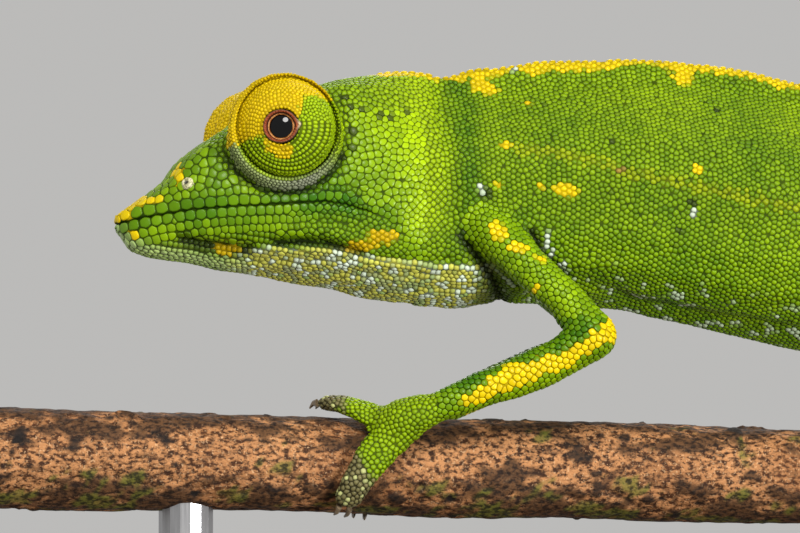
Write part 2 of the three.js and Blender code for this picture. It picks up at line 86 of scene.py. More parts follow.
SPACING = {             # from the middle of one scale to the next
    "head": 0.5, "lower_jaw": 0.5, "neck": 0.31, "trunk": 0.31, "tail": 0.35, "turret": 0.22,
    "eyeball": 0.22, "leg": 0.37, "foot": 0.27, "ghost": 0.12,
}
ROW_STEP = 0.87         # from one ring of scales to the next, as a share of the spacing
CLOSEST = 0.72          # share of their spacing that two scales are kept apart when they are seeded
CREST = {"start": 14.8, "step": 0.44, "room": 0.42}     # the row of scales along the back
MIDLINE = {"half": 1.3, "above": 2.4}   # the body's own top and bottom: clear of legs and feet


# ---- Small tools ---------------------------------------------------------------------------

def unit(vectors):
    return vectors / np.maximum(np.linalg.norm(vectors, axis=-1, keepdims=True), 1e-12)


def bell(distance, width):
    return np.exp(-(distance / width) ** 2)


def ease(value, low, high):
    share = np.clip((value - low) / (high - low), 0, 1)
    return share * share * (3 - 2 * share)


def read_off(table, value):
    """The value of a table of (place, value) rows, straight between its rows."""
    places, values = zip(*table)
    return np.interp(value, places, values)


def waver(points, size, seed, waves=20):
    """Smooth random heights of about -1 to 1, which change over about size millimetres."""
    draw = np.random.default_rng(seed)
    headings = unit(draw.normal(size=(waves, 3))) * draw.uniform(0.7, 1.5, (waves, 1))
    phases = draw.uniform(0, math.tau, waves)
    swings = np.sin(points @ headings.T * (math.pi / size) + phases)
    return swings.sum(axis=1) / math.sqrt(waves)


def points_of(mesh):
    points = np.empty(len(mesh.vertices) * 3)
    mesh.vertices.foreach_get("co", points)
    return points.reshape(-1, 3)


def corners_of(mesh):
    """The vertex at each corner of a mesh's faces, face after face."""
    corners = np.empty(len(mesh.loops), np.int32)
    mesh.loops.foreach_get("vertex_index", corners)
    return corners


def make_mesh(name, points, faces):
    """A smooth-shaded mesh from points in millimetres and an array of faces."""
    mesh = bpy.data.meshes.new(name)
    places = (np.asarray(points) + HOME) * MM
    mesh.vertices.add(len(places))
    mesh.vertices.foreach_set("co", places.astype(np.float32).ravel())
    mesh.loops.add(faces.size)
    mesh.loops.foreach_set("vertex_index", faces.astype(np.int32).ravel())
    mesh.polygons.add(len(faces))
    mesh.polygons.foreach_set("loop_start", np.arange(0, faces.size, faces.shape[1], dtype=np.int32))
    mesh.polygons.foreach_set("use_smooth", np.ones(len(faces), bool))
    mesh.update(calc_edges=True)
    return mesh


def place(name, mesh, material):
    piece = bpy.data.objects.new(name, mesh)
    bpy.context.scene.collection.objects.link(piece)
    mesh.materials.append(material)
    return piece


def paint(mesh, name, values):
    """Stores three numbers for each vertex, for the material to read."""
    layer = mesh.attributes.new(name, "FLOAT_COLOR", "POINT")
    whole = np.ones((len(mesh.vertices), 4), np.float32)
    whole[:, :3] = values
    layer.data.foreach_set("color", whole.ravel())


def lay_out(mesh, spots):
    """Stores the map that the finish is baked through: one (u, v) for each vertex."""
    layer = mesh.uv_layers.new(name="OFBake")
    layer.data.foreach_set("uv", spots[corners_of(mesh)].astype(np.float32).ravel())


def tree_of(points):
    tree = KDTree(len(points))
    for index, point in enumerate(points.tolist()):
        tree.insert(point, index)
    tree.balance()
    return tree


def normals_of(points, faces):
    """Smooth normals at the vertices of a mesh of quads or triangles."""
    corners = points[faces]
    across = np.cross(corners[:, 2] - corners[:, 0], corners[:, -1] - corners[:, 1])
    total = np.zeros_like(points)
    for axis in range(3):
        for corner in range(faces.shape[1]):
            total[:, axis] += np.bincount(faces[:, corner], across[:, axis], len(points))
    return unit(total)


def line_gap(points, line):
    """How far points are from a line of (y, z) places, seen from the side, and how far along it
    the nearest place is, as a share."""
    flat = points[:, 1:3]
    line = np.array(line, float)
    starts, runs = line[:-1], np.diff(line, axis=0)
    lengths = np.linalg.norm(runs, axis=1)
    before = np.concatenate([[0], np.cumsum(lengths)])
    gap = np.full(len(points), np.inf)
    share = np.zeros(len(points))
    for start, run, length, done in zip(starts, runs, lengths, before):
        way = np.clip((flat - start) @ run / length ** 2, 0, 1)
        distance = np.linalg.norm(flat - start - way[:, None] * run, axis=1)
        nearer = distance < gap
        gap = np.where(nearer, distance, gap)
        share = np.where(nearer, (done + way * length) / before[-1], share)
    return gap, share


# ---- Finishes ------------------------------------------------------------------------------

def paint_of(red, green, blue):
    """A colour as a screen shows it, 0 to 255, in the linear numbers of a shader."""
    shares = [value / 255 for value in (red, green, blue)]
    return tuple(s / 12.92 if s <= 0.04045 else ((s + 0.055) / 1.055) ** 2.4 for s in shares) + (1,)


class Shade:
    """A node's output. An expression on it adds the Math nodes that it needs."""

    def __init__(self, finish, socket):
        self.finish = finish
        self.socket = socket

    def maths(self, operation, *values):
        return self.finish.node("Math", {"operation": operation}, values)

    def __add__(self, other):
        return self.maths("ADD", self, other)

    def __mul__(self, other):
        return self.maths("MULTIPLY", self, other)

    def __sub__(self, other):
        return self.maths("SUBTRACT", self, other)

    def __rsub__(self, other):
        return self.maths("SUBTRACT", other, self)

    __radd__ = __add__
    __rmul__ = __mul__

    def eased(self, low, high):
        """0 below low, 1 above high and smooth between."""
        settings = {"interpolation_type": "SMOOTHSTEP"}
        return self.finish.node("MapRange", settings, {"Value": self, "From Min": low, "From Max": high})


class Finish:
    """A material in the making. node() adds any node and gives one of its outputs."""

    def __init__(self, name, **constants):
        self.material = bpy.data.materials.new(name)
        self.material.use_nodes = True
        self.tree = self.material.node_tree
        self.shader = self.tree.nodes["Principled BSDF"]
        self.surface(**constants)

    def node(self, kind, settings=None, inputs=(), output=0):
        node = self.tree.nodes.new("ShaderNode" + kind)
        for name, value in (settings or {}).items():
            setattr(node, name, value)
        pairs = inputs.items() if isinstance(inputs, dict) else enumerate(inputs)
        for key, value in pairs:
            self.feed(node.inputs[key], value)
        return Shade(self, node.outputs[output])

    def feed(self, socket, value):
        if isinstance(value, Shade):
            self.tree.links.new(value.socket, socket)
        else:
            socket.default_value = value

    def surface(self, **inputs):
        """Sets the shader's own sockets, named with _ for each space."""
        for name, value in inputs.items():
            self.feed(self.shader.inputs[name.replace("_", " ")], value)

    def mixed(self, share, first, second, way="MIX"):
        return self.node("Mix", {"data_type": "RGBA", "blend_type": way},
                         {0: share, 6: first, 7: second}, 2)

    def three_of(self, name):
        """The three numbers that paint() stored under a name."""
        stored = self.node("Attribute", {"attribute_name": name}, (), "Color")
        return [self.node("SeparateColor", None, [stored], k) for k in range(3)]

    def noise(self, size, detail=3.0, stretch=(1, 1, 1)):
        """Cloudy noise whose features are about size millimetres across."""
        where = self.node("TexCoord", None, (), "Object")
        where = self.node("Mapping", None, {"Vector": where, "Scale": stretch})
        return self.node("TexNoise", None, {"Vector": where, "Scale": 1 / (size * MM), "Detail": detail})

    def bump(self, height, distance, strength=1.0):
        inputs = {"Height": height, "Distance": distance * MM, "Strength": strength}
        return self.node("Bump", None, inputs)


def hide_finish():
    """The living skin: greens, with the yellow, pale, dark and brown markings laid over them, painted shade
    among the dark and painted light in the tint.
    """
    finish = Finish("hide", Specular_IOR_Level=0.08, Coat_Roughness=0.24)
    yellow, pale, dark = finish.three_of("marks")
    warmth, brown, light = finish.three_of("tone")
    edge, grey, orange = finish.three_of("form")
    mottle = finish.noise(0.25, 2.0)
    colour = finish.mixed(warmth, paint_of(58, 112, 4), paint_of(178, 208, 0))
    colour = finish.mixed(grey, colour, paint_of(150, 152, 118))
    colour = finish.mixed(brown, colour, paint_of(158, 124, 66))
    gold = finish.mixed(orange, paint_of(230, 200, 2), paint_of(204, 120, 6))
    colour = finish.mixed(yellow, colour, gold)
    colour = finish.mixed(pale, colour, paint_of(214, 228, 204))
    colour = finish.mixed(dark, colour, paint_of(26, 30, 22))
    # light is a random tone from scale to scale, with painted light on the underside
    tint = 0.62 + light * 0.22 + mottle * 0.16
    # edge: the dark joints, and painted shade over each scale's outer slope
    tint = tint * (1 - edge * (0.84 - 0.36 * yellow))
    colour = finish.mixed(1.0, colour, tint, "MULTIPLY")
    grain = finish.noise(0.05, 2.0)
    finish.surface(Base_Color=colour, Roughness=0.34 + 0.3 * edge + 0.08 * grain,
                   Coat_Weight=0.16 - 0.16 * edge, Normal=finish.bump(grain, 0.012, 0.6))
    return finish.material


def lid_finish():
    """The bare rim of the eyelid: a gold margin, then red brown, then a wrinkled pinkish brown."""
    finish = Finish("eyelid", Specular_IOR_Level=0.2)
    way, wrinkle, corner = finish.three_of("form")
    colour = finish.mixed(way.eased(0.05, 0.12), paint_of(232, 168, 104), paint_of(70, 26, 12))
    colour = finish.mixed(way.eased(0.2, 0.45), colour, paint_of(146, 66, 28))
    colour = finish.mixed(way.eased(0.6, 0.85), colour, paint_of(112, 74, 54))
    colour = finish.mixed(corner * way.eased(0.5, 0.8), colour, paint_of(196, 182, 138))
    colour = finish.mixed(way.eased(0.86, 0.97), colour, paint_of(48, 34, 22))
    tint = 0.45 + wrinkle * 0.55
    colour = finish.mixed(1.0, colour, tint, "MULTIPLY")
    finish.surface(Base_Color=colour, Roughness=0.45 + 0.1 * wrinkle, Normal=finish.bump(wrinkle, 0.03))
    return finish.material


def eye_finish():
    """A black pupil, a thin gold iris and a dark ball behind, under one wet surface."""
    finish = Finish("eyeball", Roughness=0.04, Specular_IOR_Level=0.3)
    reach, streak, _ = finish.three_of("form")
    iris = finish.mixed(streak, paint_of(150, 84, 34), paint_of(214, 150, 84))
    colour = finish.mixed(reach.eased(PUPIL - 0.015, PUPIL + 0.015), paint_of(4, 4, 5), iris)
    colour = finish.mixed(reach.eased(IRIS - 0.01, IRIS + 0.03), colour, paint_of(40, 20, 12))
    finish.surface(Base_Color=colour)
    return finish.material


def nostril_finish():
    finish = Finish("nostril", Roughness=0.5)
    depth, _, _ = finish.three_of("form")
    pad = finish.mixed(finish.noise(0.1).eased(0.4, 0.65), paint_of(206, 200, 160), paint_of(122, 124, 78))
    # depth: painted shade in the opening and round the pad's foot
    colour = finish.mixed(depth, pad, paint_of(30, 26, 18))
    finish.surface(Base_Color=colour)
    return finish.material


def claw_finish():
    finish = Finish("claw_horn", IOR=1.5)
    streak = finish.noise(0.2, 3.0)
    colour = finish.mixed(streak, paint_of(54, 44, 34), paint_of(140, 120, 92))
    finish.surface(Base_Color=colour, Roughness=0.3 + 0.2 * streak, Normal=finish.bump(streak, 0.02))
    return finish.material


def bark_finish():
    """Tan inner bark with a greyish crust, which also carries painted shade along the top and underside,
    dark pits and a little green.
    """
    finish = Finish("bark", Specular_IOR_Level=0.2)
    crust_and_shade, pit, green = finish.three_of("marks")
    shade, fissure, _ = finish.three_of("tone")
    fine = finish.noise(0.22, 6.0, (1, 0.6, 1))
    grain = finish.noise(0.07, 3.0, (1, 0.6, 1))
    flecks = finish.noise(0.26, 6.0).eased(0.57, 0.63)
    tan = finish.mixed(fine.eased(0.38, 0.6), paint_of(50, 28, 14), paint_of(182, 128, 82))
    colour = finish.mixed(shade * 0.5, tan, paint_of(98, 56, 26))
    crumbs = finish.noise(0.13, 5.0).eased(0.58, 0.66)
    colour = finish.mixed(crumbs * 0.55, colour, paint_of(208, 168, 126))
    crust_and_shade_colour = finish.mixed(fine.eased(0.35, 0.65), paint_of(26, 18, 12), paint_of(66, 44, 26))
    colour = finish.mixed(crust_and_shade, colour, crust_and_shade_colour)
    specks = finish.noise(0.11, 4.0, (1, 0.8, 1)).eased(0.59, 0.65)
    colour = finish.mixed(specks * 0.8, colour, paint_of(34, 22, 16))
    colour = finish.mixed(flecks * 0.3, colour, paint_of(40, 26, 18))
    moss = finish.mixed(fine.eased(0.4, 0.6), paint_of(40, 44, 16), paint_of(96, 100, 34))
    colour = finish.mixed(green, colour, moss)
    colour = finish.mixed(pit, colour, paint_of(22, 18, 16))
    colour = finish.mixed(fissure * 0.75, colour, paint_of(44, 26, 16))
    relief = fine * 0.6 + grain * 0.4
    finish.surface(Base_Color=colour, Roughness=0.62 + 0.25 * grain, Normal=finish.bump(relief, 0.1))
    return finish.material


def cut_wood_finish():
    """The sawn ends of the perch: growth rings round the pith, with fine radial checks."""
    finish = Finish("cut_wood", Roughness=0.7)
    ring, check, _ = finish.three_of("form")
    colour = finish.mixed(ring, paint_of(214, 178, 124), paint_of(162, 114, 66))
    colour = finish.mixed(check, colour, paint_of(96, 62, 34))
    finish.surface(Base_Color=colour, Normal=finish.bump(ring, 0.02))
    return finish.material


def base_finish():
    """Dark stained wood, its grain along the base."""
    finish = Finish("stained_wood", IOR=1.4)
    bands = finish.noise(5.0, 4.0, (1, 0.12, 1))
    pores = finish.noise(0.5, 3.0, (1, 0.06, 1))
    colour = finish.mixed(bands.eased(0.3, 0.7), paint_of(58, 36, 22), paint_of(112, 74, 46))
    colour = finish.mixed(pores.eased(0.55, 0.75) * 0.6, colour, paint_of(34, 20, 12))
    finish.surface(Base_Color=colour, Roughness=0.5 + 0.2 * pores, Normal=finish.bump(pores, 0.05, 0.5))
    return finish.material


def rod_finish():
    """Brushed steel, drawn along the rod."""
    finish = Finish("brushed_steel", Metallic=1.0)
    brush = finish.noise(0.12, 3.0, (1, 1, 0.04))
    colour = finish.mixed(brush, paint_of(150, 150, 152), paint_of(196, 196, 198))
    finish.surface(Base_Color=colour, Roughness=0.28 + 0.14 * brush, Normal=finish.bump(brush, 0.01, 0.4))
    return finish.material


def studio_finish(name, colour):
    finish = Finish(name, Roughness=0.9)
    cloud = finish.noise(60, 2.0)
    finish.surface(Base_Color=finish.mixed(cloud, colour, tuple(c * 0.97 for c in colour[:3]) + (1,)))
    return finish.material


# ---- The skin ------------------------------------------------------------------------------

def is_flesh(name):
    return not name.startswith(("stand_", "perch")) and "claw" not in name


FLESH = sorted(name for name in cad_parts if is_flesh(name))


def held(owners, *parts):
    """Whether the name of each owner, a number in FLESH, holds one of some parts."""
    return np.array([any(part in name for part in parts) for name in FLESH])[owners]


def by_kind(table, owners):
    """Each owner's entry in a table of kinds of flesh: that of the last kind its name holds."""
    entries = [[value for kind, value in table.items() if kind in name][-1] for name in FLESH]
    return np.array(entries)[owners]


def palm_middles():
    corners = [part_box(name) for name in FLESH if "palm" in name]
    return [np.array((low + high) / 2) / MM - HOME for low, high in corners]


PALMS = palm_middles()


class Surface:
    """A closed mesh to land places on."""

    def __init__(self, points, faces):
        self.points = points
        self.faces = faces
        self.normals = normals_of(points, faces)
        self.tree = BVHTree.FromPolygons(points.tolist(), faces.tolist())

    def land(self, places):
        """The nearest place on the surface to each place, and the smooth way out there."""
        found = [self.tree.find_nearest(spot) for spot in places.tolist()]
        spots = np.array([hit[0] for hit in found])
        ways = self.normals[self.faces[[hit[2] for hit in found]]].mean(axis=1)
        return spots, unit(ways)

    def cast(self, start, heading, reach=30.0):
        """Where a ray first meets the surface, or None."""
        hit = self.tree.ray_cast(Vector(start), Vector(heading), reach)
        return None if hit[0] is None else np.array(hit[0])

    def cast_all(self, rays):
        """Where rays of (start, heading) first meet the surface, without those that miss it."""
        hits = [self.cast(start, heading) for start, heading in rays]
        return np.array([hit for hit in hits if hit is not None])


def fine_outline(name, growth):
    """The corners and triangles of a node's solid, moved out all round."""
    solid = bmesh.new()
    solid.from_mesh(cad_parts[name].data)
    bmesh.ops.remove_doubles(solid, verts=solid.verts, dist=MM * 0.001)
    bmesh.ops.triangulate(solid, faces=solid.faces)
    solid.normal_update()
    sharpest = 1.5
    points = np.array([np.array(v.co) / MM - HOME + np.array(v.normal) * growth
                       * min(v.calc_shell_factor(), sharpest) for v in solid.verts])
    faces = np.array([[v.index for v in face.verts] for face in solid.faces])
    solid.free()
    return points, faces


def joined(outlines):
    """Several outlines as one, and which outline each face came from."""
    starts = np.cumsum([0] + [len(points) for points, _ in outlines])
    points = np.concatenate([points for points, _ in outlines])
    faces = np.concatenate([faces + start for (_, faces), start in zip(outlines, starts)])
    owners = np.repeat(np.arange(len(outlines)), [len(faces) for _, faces in outlines])
    return points, faces, owners


class Flesh:
    """The solids of flesh, to ask which of them a place belongs to."""

    def __init__(self):
        points, faces, self.owners = joined([fine_outline(name, 0) for name in FLESH])
        self.tree = BVHTree.FromPolygons(points.tolist(), faces.tolist())

    def nearest(self, places):
        """Which solid is nearest to each place, and how far outside it the place is."""
        spots = places.tolist()
        found = [self.tree.find_nearest(spot) for spot in spots]
        owners = self.owners[[hit[2] for hit in found]]
        away = places - np.array([hit[0] for hit in found])
        side = np.sign((away * np.array([hit[1] for hit in found])).sum(axis=1))
        return owners, side * np.linalg.norm(away, axis=1)


def wrapped(outlines):
    """One closed mesh of quads round all the outlines."""
    points, faces, _ = joined(outlines)
    rough = bpy.data.meshes.new("flesh")
    rough.from_pydata(points.tolist(), [], faces.tolist())
    body = bpy.data.objects.new("flesh", rough)
    bpy.context.scene.collection.objects.link(body)
    wrap = body.modifiers.new("wrap", "REMESH")
    wrap.mode = "VOXEL"
    wrap.voxel_size = VOXEL
    wrap.adaptivity = 0
    shape = bpy.data.meshes.new_from_object(body.evaluated_get(bpy.context.evaluated_depsgraph_get()))
    points = points_of(shape)
    faces = corners_of(shape).reshape(-1, 4)
    bpy.data.objects.remove(body)
    bpy.data.meshes.remove(rough)
    bpy.data.meshes.remove(shape)
    return points, faces


def neighbours_of(faces):
    """Each pair of vertices that share a side of a face, both ways round."""
    sides = np.concatenate([faces[:, [k, (k + 1) % faces.shape[1]]] for k in range(faces.shape[1])])
    both = np.concatenate([sides, sides[:, ::-1]]).astype(np.int64)
    step = both.max() + 1
    keys = np.unique(both[:, 0] * step + both[:, 1])
    return np.stack([keys // step, keys % step], 1)


def refined(points, faces, chosen):
    """Splits each side of the chosen triangles in two, and the triangles beside them to match."""
    sides = np.sort(np.stack([faces, np.roll(faces, -1, axis=1)], 2), axis=2).reshape(-1, 2)
    keys, first, which = np.unique(sides[:, 0] * len(points) + sides[:, 1], return_index=True,
                                   return_inverse=True)
    which = which.reshape(-1, 3)
    split = np.zeros(len(keys), bool)
    split[which[chosen]] = True
    middle = np.full(len(keys), -1)
    middle[split] = len(points) + np.arange(split.sum())
    points = np.concatenate([points, points[sides[first[split]]].mean(axis=1)])
    halves = middle[which]
    count = (halves >= 0).sum(axis=1)
    parts = [faces[count == 0]]
    a, b, c = faces[count == 3].T
    ab, bc, ca = halves[count == 3].T
    parts += [np.stack(corners, 1) for corners in ((a, ab, ca), (ab, b, bc), (ca, bc, c), (ab, bc, ca))]
    for turn in range(3):
        corner, half = np.roll(faces, -turn, axis=1), np.roll(halves, -turn, axis=1)
        one = (count == 1) & (half[:, 0] >= 0)
        a, b, c = corner[one].T
        parts += [np.stack([a, half[one, 0], c], 1), np.stack([half[one, 0], b, c], 1)]
        two = (count == 2) & (half[:, 2] < 0)
        a, b, c = corner[two].T
        ab, bc, _ = half[two].T
        parts += [np.stack(corners, 1) for corners in ((ab, b, bc), (a, ab, bc), (a, bc, c))]
    return points, np.concatenate(parts)


def evened(values, pairs, share, rounds):
    """Values at the vertices, each drawn towards the mean of its neighbours again and again."""
    values = values if values.ndim == 2 else values[:, None]
    share = np.broadcast_to(share, len(values))[:, None]
    count = np.bincount(pairs[:, 0], minlength=len(values))[:, None]
    for _ in range(rounds):
        sums = [np.bincount(pairs[:, 0], column[pairs[:, 1]], len(values)) for column in values.T]
        values = values + (np.stack(sums, 1) / count - values) * share
    return values


WEB_RADIUS = 0.62
WEB_SHARES = (0.2, 0.42, 0.62)  # where a web from the wrist meets the outer toes, along them


def web_places():
    """Middles of the balls that fill each fork between a palm and its two bundles of toes, and
    the hollow between the wrist and the outer toes."""
    places = []
    for palm in [name for name in FLESH if name.endswith("palm")]:
        foot = palm[:-len("palm")]
        middle = np.mean(ends_of(palm), axis=0)
        roots = [min(ends_of(foot + toes), key=lambda end: np.linalg.norm(end - middle))
                 for toes in ("inner_toes", "outer_toes")]
        front, wrist = sorted(ends_of(palm), key=lambda end: np.linalg.norm(end - sum(roots) / 2))
        tip = max(ends_of(foot + "outer_toes"), key=lambda end: np.linalg.norm(end - middle))
        knuckles = [roots[1] + (tip - roots[1]) * share for share in WEB_SHARES]
        chords = [(front, roots[0]), (front, roots[1]), roots] + [(wrist, k) for k in knuckles]
        for start, end in chords:
            places += [start + (end - start) * share for share in np.linspace(0, 1, 7)]
    return np.array(places)


def web_outlines(places):
    """A small faceted ball at each place."""
    ball = bmesh.new()
    bmesh.ops.create_icosphere(ball, subdivisions=2, radius=WEB_RADIUS)
    corners = np.array([np.array(v.co) for v in ball.verts])
    faces = np.array([[v.index for v in face.verts] for face in ball.faces])
    ball.free()
    return [(corners + spot, faces) for spot in places]


# The left foreleg round its elbow, from (x, y, z) down its middle and how thick it is there.
ELBOW_RUN = [(4.95, 23.54, 6.53), (5.43, 24.59, 5.39), (5.95, 25.25, 4.26), (5.42, 23.67, 3.08),
             (5.1, 22.57, 2.53), (4.65, 20.86, 1.8), (4.35, 19.64, 1.14)]
ELBOW_HALF = [1.17, 1.14, 1.36, 1.1, 1.15, 1.07, 0.92]


def outside_elbow(points):
    """How far points are outside a round elbow, and how much that counts at each."""
    line = np.array(ELBOW_RUN)
    gap = np.full(len(points), np.inf)
    share = np.zeros(len(points))
    last = len(line) - 1
    for number, (start, run) in enumerate(zip(line[:-1], np.diff(line, axis=0))):
        way = np.clip((points - start) @ run / (run @ run), 0, 1)
        half = ELBOW_HALF[number] * (1 - way) + ELBOW_HALF[number + 1] * way
        distance = np.linalg.norm(points - start - way[:, None] * run, axis=1) - half
        nearer = distance < gap
        gap = np.where(nearer, distance, gap)
        share = np.where(nearer, (number + way) / last, share)
    return gap, ease(share, 0, 0.14) * ease(1 - share, 0, 0.2)


def outside_of(flesh, web, points):
    """How far points are outside the flesh and the webs of the feet."""
    owners, outside = flesh.nearest(points)
    elbow, counts = outside_elbow(points)
    counts = counts * held(owners, "foreleg_left")
    outside = outside * (1 - counts) + elbow * counts
    for spot in web:
        outside = np.minimum(outside, np.linalg.norm(points - spot, axis=1) - WEB_RADIUS)
    return outside


def bare_skin(flesh):
    """The skin before any fold: every length of flesh in one, inside the coat."""
    web = web_places()
    points, faces = wrapped([fine_outline(name, GROWTH) for name in FLESH] + web_outlines(web))
    pairs = neighbours_of(faces)
    owners, _ = flesh.nearest(points)
    share = evened(by_kind(SUPPLENESS, owners), pairs, 0.5, 12)[:, 0]
    points = evened(points, pairs, share, SMOOTHING_ROUNDS)
    for rounds in (25, 12):
        outside = outside_of(flesh, web, points) + COAT_DEPTH
        outside = evened(np.clip(outside, -FARTHEST, FARTHEST), pairs, share, rounds)
        points = points - normals_of(points, faces) * outside
    points = evened(points, pairs, 0.3, 2)
    return points, np.concatenate([faces[:, [0, 1, 2]], faces[:, [0, 2, 3]]])


def eye_frame(side):
    """The middle of the eyeball, the way the turret faces, the way the eye looks and its radius."""
    low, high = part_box("eyeball_left" if side > 0 else "eyeball_right")
    centre = np.array((low + high) / 2) / MM - HOME
    outward = unit(np.array([side, -TURRET["lean"], 0.0]))
    look = unit(outward + np.array([0, *GAZE[side]]))
    return centre, outward, look, (high - low).z / 2 / MM


def turret_places(points, side):
    """Distance of points from the turret's axis, their height along it and their angle round it:
    0 is forward, 90 degrees up."""
    _, outward, _, _ = eye_frame(side)
    away = points - np.array([side * TURRET["x"], TURRET["y"], TURRET["z"]])
    height = away @ outward
    flat = away - height[:, None] * outward
    angle = np.degrees(np.arctan2(flat[:, 2], -flat[:, 1]))
    return np.linalg.norm(flat, axis=1), height, angle


def furrow_reach(angle):
    """How far the furrow lies from the turret's middle, by the angle round it."""
    turn = np.radians(angle)
    off = FURROW["up"] * np.sin(turn) - FURROW["back"] * np.cos(turn)
    across = FURROW["up"] * np.cos(turn) + FURROW["back"] * np.sin(turn)
    return off + np.sqrt(FURROW["reach"] ** 2 - across ** 2)


JAW_CREASE = [(7.8, 9.15), (9.6, 9.3), (11, 9.2), (12, 8.9), (13.4, 8.6)]
CHIN_HOLLOW = [(2.9, 9.45), (4.3, 9.15), (5.9, 8.9), (7.4, 8.95)]
CANTHUS = [(0.8, 11.6), (2, 12.2), (3.2, 13.3), (5.2, 14.7)]
NECK_FOLD = [(17.9, 19.2), (18, 16), (18.15, 12), (17.9, 9.5)]
SHOULDER_FRONT = [(18.3, 10.4), (18.6, 9.6), (19.8, 8.3), (21.2, 6.9), (22.2, 6)]
SHOULDER_BACK = [(22.8, 9.0), (23.8, 8.1), (24.8, 7.3)]
ARMPIT_SLIT = [(22.1, 10.3), (22.5, 9.9), (22.85, 9.3), (23.1, 8.8)]
BELLY_CREASE = [(25, 7.6), (28.8, 6.5), (32.7, 5.75), (38, 4.9), (45, 4.3), (52, 4.5)]
BACK_FROM = [(14, 14), (20, 15), (40, 14), (50, 11), (64, 9)]       # (y, z) above which the back lies
RIDGE = [(14.5, 0), (17, 0.12), (24, 0.22), (32, 0.26), (38, 0.42), (50, 0.36), (60, 0.2), (64, 0)]

FOLDS = [               # (where, line, depth, width, share of it over which each end fades)
    ("head", JAW_CREASE, 0.42, 0.22, 0.12),
    ("head", [(y, z + 0.6) for y, z in JAW_CREASE], -0.16, 0.4, 0.12),      # it stands out
    ("head", CHIN_HOLLOW, 0.46, 0.26, 0.12),
    ("head", CANTHUS, -0.1, 0.3, 0.12),
    ("body", NECK_FOLD, 0.16, 0.55, 0.12),
    ("body", SHOULDER_FRONT, 0.5, 0.32, 0.3),
    ("body", SHOULDER_BACK, 0.4, 0.28, 0.3),
    ("behind", ARMPIT_SLIT, 0.5, 0.13, 0.3),
    ("body", BELLY_CREASE, 0.32, 0.3, 0.12),
]
BEHIND_NECK = 20        # the armpit's slit marks nothing in front of this


def crease(points, line, depth, width, fade=0.12):
    """A furrow along a line seen from the side, shallow at its ends."""
    gap, share = line_gap(points, line)
    ends = ease(share, 0, fade) * ease(1 - share, 0, fade)
    return -depth * bell(gap, width) * ends


def folds(points, owners):
    """How far the skin stands out, or in where negative, at each point."""
    y, z = points[:, 1], points[:, 2]
    head = held(owners, "head", "lower_jaw")
    body = head | held(owners, "neck", "trunk")
    regions = {"head": head, "body": body, "behind": y > BEHIND_NECK}
    gap, share = line_gap(points, MOUTH)
    fading = ease(1 - share, 0, 0.1)
    lips = (0.03 * bell(gap - 0.4, 0.25) - 0.15 * bell(gap, 0.065)) * fading
    relief = np.where(head, lips, 0)
    for region, line, depth, width, fade in FOLDS:
        relief += np.where(regions[region], crease(points, line, depth, width, fade), 0)
    back = body & (z > read_off(BACK_FROM, y))
    relief += np.where(back, read_off(RIDGE, y) * bell(points[:, 0], 0.45), 0)
    flank = np.where(body, ease(y, 19, 23), 0)
    relief += flank * 0.06 * waver(points * [0.3, 1, 0.35], 2.4, 5)
    throat = np.where(body, ease(9.6 - z, 0, 1) * ease(y, 3, 6) * ease(20 - y, 0, 2), 0)
    relief += throat * 0.05 * np.sin(z * math.tau / 0.72)
    return relief


def turret_relief(points, side):
    """The rim and the furrow of a turret, along the way it faces, and the moat round it."""
    reach, height, angle = turret_places(points, side)
    near = (height > -1.2) & (reach < 4.2) & (points[:, 0] * side > 1.5)
    low = ease(-np.sin(np.radians(angle)), -0.2, 1)
    inner = furrow_reach(angle)
    middle = (inner + TURRET["ring"]) / 2
    rim = 0.28 * bell(reach - middle, 0.8 * (TURRET["ring"] - inner) / 2 + 0.04)
    furrow = -0.26 * bell(reach - inner, 0.075)
    moat = -0.2 * bell(reach - 3.45, 0.2)
    pleats = -0.06 * low * sum(bell(reach - inner + step, 0.06) for step in (0.4, 0.8, 1.2))
    return np.where(near, rim + furrow + pleats, 0), np.where(near, moat, 0)


def with_sockets(points, side):
    """Sinks the skin under the eyeball, so that the eye and its lid lie over it."""
    centre, _, look, radius = eye_frame(side)
    away = points - centre
    height = away @ look
    reach = np.linalg.norm(away - height[:, None] * look, axis=1)
    floor = 0.55 * radius
    share = ease(TURRET["lid"] + 0.1 - reach, 0, 0.16) * (height > floor)
    return points - look * (share * (height - floor))[:, None]


def finer_skin(points, faces):
    """The skin with smaller triangles at the lips, nostrils and turrets."""
    for level in range(2):
        centres = points[faces].mean(axis=1)
        gap, _ = line_gap(centres, MOUTH)
        fine = (gap < (0.5, 0.25)[level]) & (centres[:, 1] < 15)
        fine |= np.hypot(centres[:, 1] - NOSTRIL[0], centres[:, 2] - NOSTRIL[1]) < 0.6
        for side in SIDES:
            reach, height, angle = turret_places(centres, side)
            lid = reach < (3.8, 1.5)[level]
            rim = np.abs(reach - furrow_reach(angle) - 0.15) < 0.5
            fine |= (lid | rim) & (height > -0.5) & (centres[:, 0] * side > 1.5)
        corners = len(points)
        points, faces = refined(points, faces, fine)
        share = np.where(np.arange(len(points)) < corners, 0.15, 0.5)
        points = evened(points, neighbours_of(faces), share, 2)
    return points, faces


def living_skin(flesh):
    """The skin with its folds, lips, turret rims and sockets."""
    points, faces = finer_skin(*bare_skin(flesh))
    normals = normals_of(points, faces)
    owners, _ = flesh.nearest(points)
    relief = folds(points, owners)
    for side in SIDES:
        _, outward, _, _ = eye_frame(side)
        rim, moat = turret_relief(points, side)
        points = points + outward * rim[:, None] + normals * moat[:, None]
    points = points + normals * relief[:, None]
    for side in SIDES:
        points = with_sockets(points, side)
    return Surface(points, faces)


# ---- Where the scales stand -----------------------------------------------------------------

def lengths_along(line):
    """How far along a line of points each of them is."""
    return np.concatenate([[0], np.cumsum(np.linalg.norm(np.diff(line, axis=0), axis=1))])


def places_at(marks, lengths, line):
    return np.stack([np.interp(marks, lengths, line[:, axis]) for axis in range(3)], 1)


